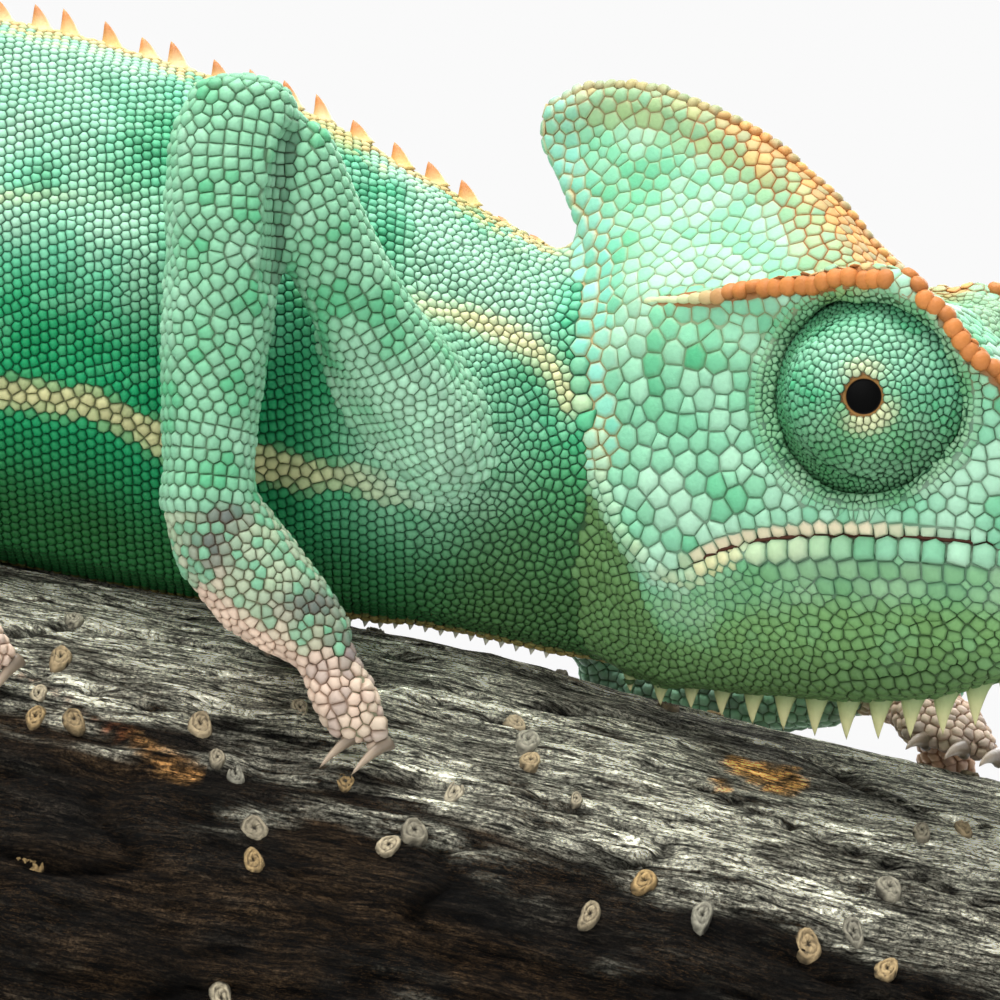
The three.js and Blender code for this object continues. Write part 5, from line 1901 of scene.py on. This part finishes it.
def bark_splits(flat):
    """Share of a split in the bark, 1 in its middle."""
    crack = np.abs(field(flat * [0.03, 0.15, 1], 1, 57, 2))
    return hill(crack, 0.035)


def bark_colours(x, angle, lift):
    """Bark: grey on top, partly weathered and partly painted light, near black on the flanks as
    painted shade over the bark's own dark tone, brown blotches, scar and split.
    """
    own = settings("perch")
    dark, light, brown, tan = (np.array(getattr(own, k)) for k in ("dark", "light", "brown", "tan"))
    flat = bark_flat(x, angle)
    x, angle, lift = x.ravel(), angle.ravel(), lift.ravel()
    wave = field(flat * [0.04, 0.12, 1], 1, 63, 2)
    rag = field(flat * [0.1, 0.7, 1], 1, 73, 2)
    edge = np.interp(x, [0, 12, 36, 50, 75], [0.6, 0.64, 0.68, 0.52, 0.42])
    # Light grey top and near black flanks: partly weathered bark, partly painted light on top and
    # painted shade on the flanks.
    top = step(np.cos(angle) + 0.16 * wave + 0.2 * rag, edge - 0.07, edge + 0.09)
    # Raised bark is lighter and hollows darker: painted light on the ridges and painted shade in
    # the hollows.
    high = clamp01((lift + 0.8) / 1.15)
    weathered_and_lit = light * (0.62 + 0.9 * high)[:, None]
    mottle = field(flat * [0.12, 0.3, 1], 1, 65, 2)
    weathered_and_lit = blend(weathered_and_lit, dark * 1.6, 0.6 * step(mottle + 0.3 * rag, 0.1, 0.35))
    deep = dark * (0.25 + 0.8 * high)[:, None]
    deep = blend(deep, brown * 0.42, 0.4 * step(field(flat * [0.1, 0.2, 1], 1, 67, 2), 0.1, 0.4))
    # Pale streaks on the highest flank ridges: painted highlight.
    deep = blend(deep, light * 0.4, 0.4 * step(high, 0.7, 1.0) * step(wave + rag, -0.05, 0.3))
    bark = blend(deep, weathered_and_lit, top)
    # Splits are painted near black: their own dark inside, deepened as painted shade in the recess.
    bark = blend(bark, dark * 0.25, 0.9 * bark_splits(flat))
    place = np.column_stack([x, angle * UNROLL])
    for (sx, sa), wide, high_side, tone in (((47.4, -0.45), 3.1, 2.2, tan * [1.7, 1.25, 0.7]),
                                            ((-38, -0.9), 3.6, 2.0, brown * 1.5),
                                            ((20, 0.9), 3.0, 2.2, tan * 0.7)):
        off = (place - [sx, sa * UNROLL]) / [wide, high_side]
        share = step(-np.hypot(*off.T) + 0.9 * field(flat * [0.4, 0.5, 1], 1, 69, 2), -1.0, -0.7)
        pits = step(field(flat, 0.9, 70, 2), 0.05, 0.3)
        bark = blend(bark, blend(tone, dark, 0.8 * pits), 0.9 * share)
    gap, _ = line_distance(place, [[-1, -18.4], [3, -20], [8, -22.8], [11, -24]])
    red = brown * [1.7, 0.9, 0.7]
    bark = blend(bark, red, 0.9 * step(-gap + 0.5 * mottle, -0.6, -0.25))
    bark = blend(bark, tan * [0.8, 0.6, 0.42], step(-gap + 0.5 * mottle, -0.9, -0.4)
                 * step(x, 6, 8) * 0.7)
    return blend(bark, dark * 0.2, step(-gap, -0.24, -0.1))


# the largest pores: place along the branch, angle from its top, radius
PORES = [(-5, 0.0, 0.8), (1, -0.42, 0.75), (1, -0.62, 0.95), (0.3, -0.76, 0.7), (3, -0.83, 0.85),
         (11, -0.77, 0.95), (14, -0.9, 0.75), (12.6, -0.87, 0.6), (17, -0.63, 0.85),
         (21, -0.86, 0.75), (32, -0.57, 0.95), (31, -0.5, 0.8), (32.4, -0.64, 0.8),
         (28, -0.82, 0.9), (38, -1.09, 0.85), (41, -0.96, 0.8), (45, -1.02, 0.9),
         (52, -1.01, 1.0), (56.5, -0.8, 0.9), (16, -1.05, 0.9), (16.4, -1.14, 0.8),
         (2.5, -1.25, 1.1), (26, -0.97, 0.9), (24.6, -1.02, 0.85), (61, -0.5, 0.8)]


class CHAMELEON_OT_perch(bpy.types.Operator):
    """Makes the bark of the branch, its sawn ends and its pores"""
    bl_idname = "chameleon.perch"
    bl_label = "Perch"

    def execute(self, context):
        own = settings("perch")
        along, around = 300, 310
        x = np.linspace(own.rear / MM, own.front / MM, along)
        grid_x, grid_a = np.meshgrid(x, turns(around), indexing="ij")
        signed = np.where(grid_a > math.pi, grid_a - TURN, grid_a)
        lift = bark_lift(grid_x, signed)
        seam = step(np.abs(grid_a - math.pi), 0.0, 0.2)
        lift = lift * seam - 0.5 * (1 - seam)
        verts = on_perch(grid_x, grid_a, lift).reshape(-1, 3)
        tints = bark_colours(grid_x, signed, lift)
        tints = blend(np.array(own.dark) * 0.8, tints, seam.ravel())
        quads = tube_quads(around, along, flip=True)
        bark = new_mesh("perch_bark", verts, [quads], tints)
        layer = bark.data.uv_layers.new(name="Grain")
        corner = quads.ravel()
        seam_face = np.repeat((quads % around == around - 1).any(1), 4)
        wrap = (corner % around == 0) & seam_face
        u = grid_x.ravel()[corner] * MM
        v = (grid_a.ravel()[corner] + TURN * wrap) * UNROLL * MM
        layer.data.foreach_set("uv", np.column_stack([u, v]).astype(np.float32).ravel())
        face_outward(bark)
        finish_piece(bark, bark_material(), "bark", "perch")
        self.ends(verts.reshape(along, around, 3))
        self.pores()
        return {"FINISHED"}

    def ends(self, grid):
        """The two sawn faces, with their place from the centre as the way of the grain."""
        rings = 10
        parts = []
        for row, way in ((grid[0], -1), (grid[-1], 1)):
            centre, count = row.mean(0), len(row)
            shares = [*np.linspace(1, 0, rings, endpoint=False)]
            spokes = np.vstack([(row - centre) * t for t in shares] + [np.zeros((1, 3))])
            faces = [tube_quads(count, rings), fan(count, (rings - 1) * count, rings * count)]
            parts.append((centre + spokes, [face[:, ::way] for face in faces], spokes[:, 1:] * MM))
        verts, faces, flats = merged(parts)
        piece = new_mesh("perch_ends", verts, faces, uvs=flats, uv_name="Grain")
        finish_piece(piece, wood_material(), "bark")

    def places(self, random):
        """Pores strewn singly and in short upright rows, clear of the ends."""
        own = settings("perch")
        found = [(x, a, size) for x, a, size in PORES]
        while len(found) < 260:
            x = random.uniform(own.rear / MM + 4, own.front / MM - 4)
            a = random.uniform(-math.pi, math.pi)
            for _ in range(random.choice([1, 1, 2, 2, 3])):
                size = random.uniform(0.55, 0.95)
                clear = all(math.hypot(x - p, (a - q) * UNROLL) > (size + r) * 1.15
                            for p, q, r in found)
                if clear and own.rear / MM + 3 < x < own.front / MM - 3:
                    found.append((x, a, size))
                x += random.normal(0, 0.9)
                a += random.choice([-1, 1]) * random.uniform(1.7, 2.6) / UNROLL
        return found

    def pores(self):
        """Oval raised pores with a lip, an inner ring and a split."""
        own = settings("perch")
        random = np.random.default_rng(17)
        parts, sides = [], 18
        turn = turns(sides)
        # The third value of each ring moves its colour from dark to the pore's tone: raised rings
        # lighter, sunken ones darker, partly the pore's own cream lip and dark slit, partly painted
        # light and shade by height.
        profile = ((1.3, -0.35, 0.15), (1.1, 0.1, 0.5), (0.92, 0.3, 0.95), (0.78, 0.28, 0.75),
                   (0.68, 0.22, 0.45), (0.52, 0.32, 0.9), (0.3, 0.28, 0.75), (0.12, 0.14, 0.2))
        dark, tan = np.array(own.dark), np.array(own.tan)
        for x, a, size in self.places(random):
            slim = random.uniform(0.6, 0.85)
            tilt = random.uniform(-0.4, 0.4) + math.pi / 2
            wobble = 1 + 0.12 * np.sin(2 * turn + random.uniform(0, 6)) + 0.07 * np.sin(
                3 * turn + random.uniform(0, 6))
            tone = blend(tan * [1, 0.92, 0.75], np.array(own.light) * 1.1, random.random())
            tone = tone * random.uniform(0.6, 1.05)
            ground = bark_lift(np.array([x]), np.array([(a + math.pi) % TURN - math.pi]))[0]
            verts, tints = [], []
            for reach, rise, light in profile:
                du = size * reach * wobble * np.cos(turn)
                dv = size * slim * reach * wobble * np.sin(turn)
                gx = x + du * math.cos(tilt) - dv * math.sin(tilt)
                ga = a + (du * math.sin(tilt) + dv * math.cos(tilt)) / UNROLL
                rough = rise * size * (1 + 0.2 * random.normal(0, 1, sides))
                verts.append(on_perch(gx, ga, ground + 0.05 + rough))
                shades = clamp01(light + 0.24 * random.normal(0, 1, sides))
                tints.append(blend(dark * 0.6, tone, shades))
            verts.append(on_perch(np.array([x]), np.array([a]), ground + 0.05 * size))
            tints.append((dark * 0.5)[None])
            last = (len(profile) - 1) * sides
            faces = [tube_quads(sides, len(profile), flip=True),
                     fan(sides, last, last + sides, flip=True)]
            parts.append((np.vstack(verts), faces, np.vstack(tints)))
        piece = new_mesh("perch_pores", *merged(parts))
        face_outward(piece)
        finish_piece(piece, pore_material(), "bark")


# ---- stand -----------------------------------------------------------------------------------
class CHAMELEON_OT_stand(bpy.types.Operator):
    """Makes the bevelled wooden base and the two rods with their collars"""
    bl_idname = "chameleon.stand"
    bl_label = "Stand"

    def execute(self, context):
        own = settings("stand")
        low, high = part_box("stand_base")
        bpy.ops.mesh.primitive_cube_add(size=1, location=(low + high) / 2)
        base = context.object
        base.name = base.data.name = "stand_board"
        base.scale = high - low
        bpy.ops.object.transform_apply(location=True, rotation=True, scale=True)
        upright = bmesh.new()
        upright.from_mesh(base.data)
        edges = [e for e in upright.edges if abs(e.verts[0].co.z - e.verts[1].co.z) > 1e-4]
        bmesh.ops.bevel(upright, geom=edges, offset=0.007, segments=8, profile=0.5,
                        affect="EDGES")
        upright.to_mesh(base.data)
        upright.free()
        self.bevel(base, own.bevel, 50)
        finish_piece(base, board_material(), "stand", "stand_base")
        for name in ("front", "rear"):
            self.rod(context, name, high.z)
        return {"FINISHED"}

    def bevel(self, piece, width, least):
        modify(piece, "BEVEL", width=width, segments=4, limit_method="ANGLE",
               angle_limit=math.radians(least))
        bpy.ops.object.shade_smooth_by_angle(angle=math.radians(35))

    def rod(self, context, name, floor):
        low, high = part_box(f"stand_rod_{name}")
        middle = (low + high) / 2
        radius = (high.x - low.x) / 2
        pieces = []
        collar, sunk, tall = 0.0014, 0.0004, 0.0016
        for reach, bottom, top in ((radius, low.z, high.z),
                                   (radius + collar, floor - sunk, floor + tall)):
            bpy.ops.mesh.primitive_cylinder_add(vertices=48, radius=reach, depth=top - bottom,
                                                location=(middle.x, middle.y, (top + bottom) / 2))
            pieces.append(context.object)
            bpy.ops.object.transform_apply(location=True, rotation=True, scale=True)
            self.bevel(context.object, 0.0004, 60)
        pick_only(pieces[0])
        pieces[1].select_set(True)
        bpy.ops.object.join()
        rod = pieces[0]
        rod.name = rod.data.name = f"stand_rod_{name}_steel"
        finish_piece(rod, steel_material(), "rod", f"stand_rod_{name}")


# ---- materials -------------------------------------------------------------------------------
class Nodes:
    """Small maker of node materials."""

    def __init__(self, name):
        self.material = bpy.data.materials.new(name)
        self.material.use_nodes = True
        self.tree = self.material.node_tree
        self.shader = self.tree.nodes["Principled BSDF"]

    def add(self, kind, inputs=None, **values):
        node = self.tree.nodes.new(kind)
        for key, value in values.items():
            setattr(node, key, value)
        for key, value in (inputs or {}).items():
            if isinstance(value, bpy.types.NodeSocket):
                self.tree.links.new(value, node.inputs[key])
            else:
                node.inputs[key].default_value = value
        return node

    def place(self):
        return self.add("ShaderNodeTexCoord").outputs["Object"]

    def mark(self):
        return self.add("ShaderNodeAttribute", attribute_name="Marking").outputs["Color"]

    def maths(self, operation, *values, kind="Math"):
        return self.add("ShaderNode" + kind, dict(enumerate(values)),
                        operation=operation).outputs[0]

    def stretched(self, value, start, end, low=0.0, high=1.0):
        """Number that runs from low to high as value runs from start to end."""
        return self.add("ShaderNodeMapRange", {"Value": value, "From Min": start, "From Max": end,
                                               "To Min": low, "To Max": high}).outputs[0]

    def span(self, value, low, high):
        return self.stretched(value, 0.0, 1.0, low, high)

    def noise(self, vector, scale, detail=3.0, rough=0.55, mapping=None):
        if mapping is not None:
            vector = self.add("ShaderNodeMapping", {"Vector": vector, "Scale": mapping}).outputs[0]
        return self.add("ShaderNodeTexNoise", {"Vector": vector, "Scale": scale, "Detail": detail,
                                               "Roughness": rough}).outputs["Fac"]

    def ramp(self, value, stops):
        node = self.add("ShaderNodeValToRGB", {"Fac": value})
        points = node.color_ramp.elements
        while len(points) < len(stops):
            points.new(0.5)
        for point, (place, colour) in zip(points, stops):
            point.position = place
            point.color = (*colour, 1)
        return node.outputs["Color"]

    def sharp(self, value, half):
        """Noise with its middle stretched over the whole span."""
        return self.stretched(value, 0.5 - half, 0.5 + half)

    def scaled(self, colour, value, low, high):
        """Colour times a number that runs from low to high as value runs from 0 to 1."""
        return self.maths("MULTIPLY", colour, self.span(value, low, high), kind="VectorMath")

    def bump(self, height, distance, normal=None):
        inputs = {"Height": height, "Distance": distance, "Strength": 1.0}
        if normal is not None:
            inputs["Normal"] = normal
        return self.add("ShaderNodeBump", inputs).outputs[0]

    def done(self, colour, roughness, normal=None, metallic=0.0, specular=0.5):
        values = {"Base Color": colour, "Roughness": roughness, "Normal": normal,
                  "Metallic": metallic, "Specular IOR Level": specular}
        for key, value in values.items():
            if isinstance(value, bpy.types.NodeSocket):
                self.tree.links.new(value, self.shader.inputs[key])
            elif value is not None:
                self.shader.inputs[key].default_value = value
        return self.material


def marked(name, fine_scale, low, high, bump_mm, roughness, **sockets):
    """Material that takes its colour from the markings, with fine mottling and bump."""
    made = Nodes(name)
    place = made.place()
    mottle = made.noise(place, fine_scale)
    colour = made.scaled(made.mark(), mottle, low, high)
    normal = made.bump(made.noise(place, fine_scale * 2.6, 2.0), bump_mm * MM)
    rough = made.span(mottle, roughness - 0.08, roughness + 0.08)
    return made.done(colour, rough, normal, **sockets)


@cache
def skin_material():
    return marked("skin", 1500, 0.8, 1.1, 0.05, 0.7, specular=0.25)


@cache
def scale_material():
    return marked("scales", 1600, 0.88, 1.12, 0.035, 0.5, specular=0.22)


@cache
def horn_material():
    return marked("spines", 1200, 0.85, 1.12, 0.04, 0.5)


@cache
def claw_material():
    return marked("claw horn", 900, 0.7, 1.25, 0.03, 0.32)


@cache
def pore_material():
    return marked("bark pores", 2200, 0.45, 1.3, 0.15, 0.85, specular=0.3)


@cache
def eye_material():
    made = Nodes("eye")
    colour = made.scaled(made.mark(), made.noise(made.place(), 2500), 0.8, 1.2)
    return made.done(colour, 0.4, specular=0.04)


@cache
def bark_material():
    made = Nodes("bark")
    mark = made.mark()
    grain = made.add("ShaderNodeUVMap", uv_map="Grain").outputs[0]
    sway = made.add("ShaderNodeTexNoise", {"Vector": grain, "Scale": 90, "Detail": 2.0})
    grain = made.maths("MULTIPLY_ADD", sway.outputs["Color"], (0.0, 0.0022, 0.0), grain,
                       kind="VectorMath")

    def fibres(detail, rough, along, across):
        return made.noise(grain, 60, detail, rough, (along, across, 1))

    def edges(value, dark, light):
        """Thin lines where a noise passes its middle."""
        off = made.maths("ABSOLUTE", made.maths("SUBTRACT", value, 0.5))
        return made.stretched(off, dark, light)

    fibre = made.sharp(fibres(4.0, 0.7, 9, 56), 0.09)
    thread = made.sharp(fibres(4.0, 0.85, 46, 80), 0.09)
    streak = made.sharp(fibres(3.0, 0.6, 2.0, 16), 0.12)
    crack = edges(fibres(2.0, 0.5, 2.0, 19), 0.0, 0.03)
    colour = mark
    for value, low, high in ((fibre, 0.28, 1.75), (thread, 0.25, 1.85), (streak, 0.45, 1.6),
                             (crack, 0.05, 1.0)):
        colour = made.scaled(colour, value, low, high)
    hair = made.maths("MULTIPLY", edges(fibres(4.0, 0.7, 7, 40), 0.012, 0.0),
                      made.sharp(fibres(2.0, 0.5, 2.2, 5), 0.12))
    lint = made.scaled(tuple(np.array(settings("perch").brown) * 1.3), hair, 0.0, 1.0)
    fleck = made.maths("MULTIPLY", made.maths("MULTIPLY", streak, thread), fibre)
    for extra in (lint, made.scaled(mark, fleck, 0.0, 1.6)):
        colour = made.maths("ADD", colour, extra, kind="VectorMath")
    normal = None
    for value, deep_mm in ((streak, 0.8), (crack, 0.6), (fibre, 0.3), (thread, 0.15)):
        normal = made.bump(value, deep_mm * MM, normal)
    return made.done(colour, 0.8, normal, specular=0.1)


@cache
def wood_material():
    own = settings("perch")
    made = Nodes("sawn wood")
    face = made.add("ShaderNodeUVMap", uv_map="Grain").outputs[0]
    wave = made.add("ShaderNodeTexWave", {"Vector": face, "Scale": 180, "Distortion": 2.0,
                                          "Detail": 3.0}, wave_type="RINGS",
                    rings_direction="Z").outputs["Fac"]
    base = np.array(own.wood)
    colour = made.ramp(wave, [(0.2, tuple(base)), (0.85, tuple(base * 0.62))])
    colour = made.scaled(colour, made.noise(made.place(), 1400), 0.75, 1.15)
    return made.done(colour, 0.8, made.bump(wave, 0.2 * MM))


@cache
def board_material():
    own = settings("stand")
    made = Nodes("stained wood")
    grain = made.noise(made.place(), 90, 5.0, 0.6, (0.35, 6, 6))
    base = np.array(own.wood)
    colour = made.ramp(grain, [(0.35, tuple(base * 0.55)), (0.65, tuple(base * 1.25))])
    return made.done(colour, made.span(grain, 0.3, 0.45), made.bump(grain, 0.1 * MM))


@cache
def steel_material():
    own = settings("stand")
    made = Nodes("brushed steel")
    brush = made.noise(made.place(), 400, 3.0, 0.5, (1, 1, 0.05))
    base = np.array(own.metal)
    colour = made.ramp(brush, [(0.3, tuple(base * 0.85)), (0.7, tuple(base))])
    return made.done(colour, made.span(brush, 0.25, 0.4), made.bump(brush, 0.03 * MM),
                     metallic=1.0)


# ---- stage -----------------------------------------------------------------------------------
BACKDROP = (*rgb(250, 250, 250), 1)


def white_to_camera(tree):
    """Share that is 1 for camera, mirror and glass rays and 0 for the rays that carry light."""
    path = tree.nodes.new("ShaderNodeLightPath")
    share = path.outputs["Is Camera Ray"]
    for ray in ("Is Glossy Ray", "Is Transmission Ray"):
        largest = tree.nodes.new("ShaderNodeMath")
        largest.operation = "MAXIMUM"
        tree.links.new(share, largest.inputs[0])
        tree.links.new(path.outputs[ray], largest.inputs[1])
        share = largest.outputs[0]
    return share


def mix_shaders(tree, share, first, second, output):
    """Leads a mix of two shaders to the tree's output."""
    mix = tree.nodes.new("ShaderNodeMixShader")
    for source, socket in zip((share, first.outputs[0], second.outputs[0]), mix.inputs):
        tree.links.new(source, socket)
    tree.links.new(mix.outputs[0], tree.nodes[output].inputs["Surface"])


class CHAMELEON_OT_stage(bpy.types.Operator):
    """Sets the camera, the soft lights, the pale world and the floor"""
    bl_idname = "chameleon.stage"
    bl_label = "Stage"

    def execute(self, context):
        own = settings("stage")
        scene = context.scene
        scene.view_settings.view_transform = "Standard"
        camera = new_object("camera", bpy.data.cameras.new("camera"))
        camera.location = own.camera
        camera.rotation_euler = (math.pi / 2, 0, 0)
        camera.data.sensor_width = sensor_mm = 36
        camera.data.lens = sensor_mm * abs(own.camera[1]) / own.frame_width
        camera.data.clip_start = 0.01
        camera.data.clip_end = 20
        scene.camera = camera
        self.world(scene)
        self.floor(context)
        lamps = (("overhead", (0.0, -0.04, 0.62), (0.0, 0.0, 0.1), 0.5, own.lamp_watts),
                 ("front", (-0.22, -0.6, 0.34), (0.03, 0.0, 0.1), 0.34, own.lamp_watts * 0.3),
                 ("rear", (0.3, 0.5, 0.35), (0.0, 0.0, 0.1), 0.4, own.lamp_watts * 0.3))
        for name, place, aim, size, power in lamps:
            data = bpy.data.lights.new(name, "AREA")
            data.size = size
            data.energy = power
            lamp = new_object(name, data)
            lamp.location = place
            way = Vector(aim) - Vector(place)
            lamp.rotation_euler = way.to_track_quat("-Z", "Y").to_euler()
        return {"FINISHED"}

    def world(self, scene):
        world = bpy.data.worlds.new("studio")
        scene.world = world
        world.use_nodes = True
        tree = world.node_tree
        light = tree.nodes["Background"]
        light.inputs["Color"].default_value = (0.92, 0.96, 1.0, 1)
        light.inputs["Strength"].default_value = 0.4
        seen = tree.nodes.new("ShaderNodeBackground")
        seen.inputs["Color"].default_value = BACKDROP
        seen.inputs["Strength"].default_value = 1.0
        mix_shaders(tree, white_to_camera(tree), light, seen, "World Output")

    def floor(self, context):
        """Pale floor that fades into the white of the backdrop away from the model."""
        own = settings("stage")
        bpy.ops.mesh.primitive_plane_add(size=6, location=(0, 0, 0))
        floor = context.object
        floor.name = floor.data.name = "floor"
        made = Nodes("floor")
        place = made.place()
        base = np.array(own.floor)
        colour = made.ramp(made.noise(place, 30), [(0.3, tuple(base * 0.985)), (0.7, tuple(base))])
        made.done(colour, 0.9)
        away = made.add("ShaderNodeVectorMath", {0: place}, operation="LENGTH").outputs["Value"]
        share = made.stretched(away, 0.14, 0.55)
        glow = made.add("ShaderNodeEmission", {"Color": BACKDROP, "Strength": 1.0})
        part = made.maths("MULTIPLY", white_to_camera(made.tree), share)
        mix_shaders(made.tree, part, made.shader, glow, "Material Output")
        floor.data.materials.append(made.material)


# ---- panel and registration ------------------------------------------------------------------
STEPS = ("stage", "skin", "scales", "eyes", "crests", "claws", "perch", "stand")


class CHAMELEON_PT_panel(bpy.types.Panel):
    """Lists the pieces of the model and their settings"""
    bl_idname = "CHAMELEON_PT_panel"
    bl_label = "Chameleon"
    bl_space_type = "VIEW_3D"
    bl_region_type = "UI"
    bl_category = "Chameleon"

    def draw(self, context):
        for name in STEPS:
            self.layout.operator("chameleon." + name)
        for name, group in GROUPS.items():
            box = self.layout.box()
            box.label(text=name.title())
            for key in group.__annotations__:
                box.prop(settings(name), key)


GROUPS = {"skin": SkinSettings, "scales": ScaleSettings, "colours": ColourSettings,
          "perch": PerchSettings, "stand": StandSettings, "stage": StageSettings}
CLASSES = (*GROUPS.values(), CHAMELEON_OT_skin, CHAMELEON_OT_scales, CHAMELEON_OT_eyes,
           CHAMELEON_OT_crests, CHAMELEON_OT_claws, CHAMELEON_OT_perch, CHAMELEON_OT_stand,
           CHAMELEON_OT_stage, CHAMELEON_PT_panel)


def register():
    for cls in CLASSES:
        bpy.utils.register_class(cls)
    for name, group in GROUPS.items():
        setattr(bpy.types.Scene, "chameleon_" + name, PointerProperty(type=group))


def unregister():
    for name in GROUPS:
        delattr(bpy.types.Scene, "chameleon_" + name)
    for cls in reversed(CLASSES):
        bpy.utils.unregister_class(cls)


def main():
    register()
    for name in STEPS:
        getattr(bpy.ops.chameleon, name)()


if __name__ == "__main__":
    main()
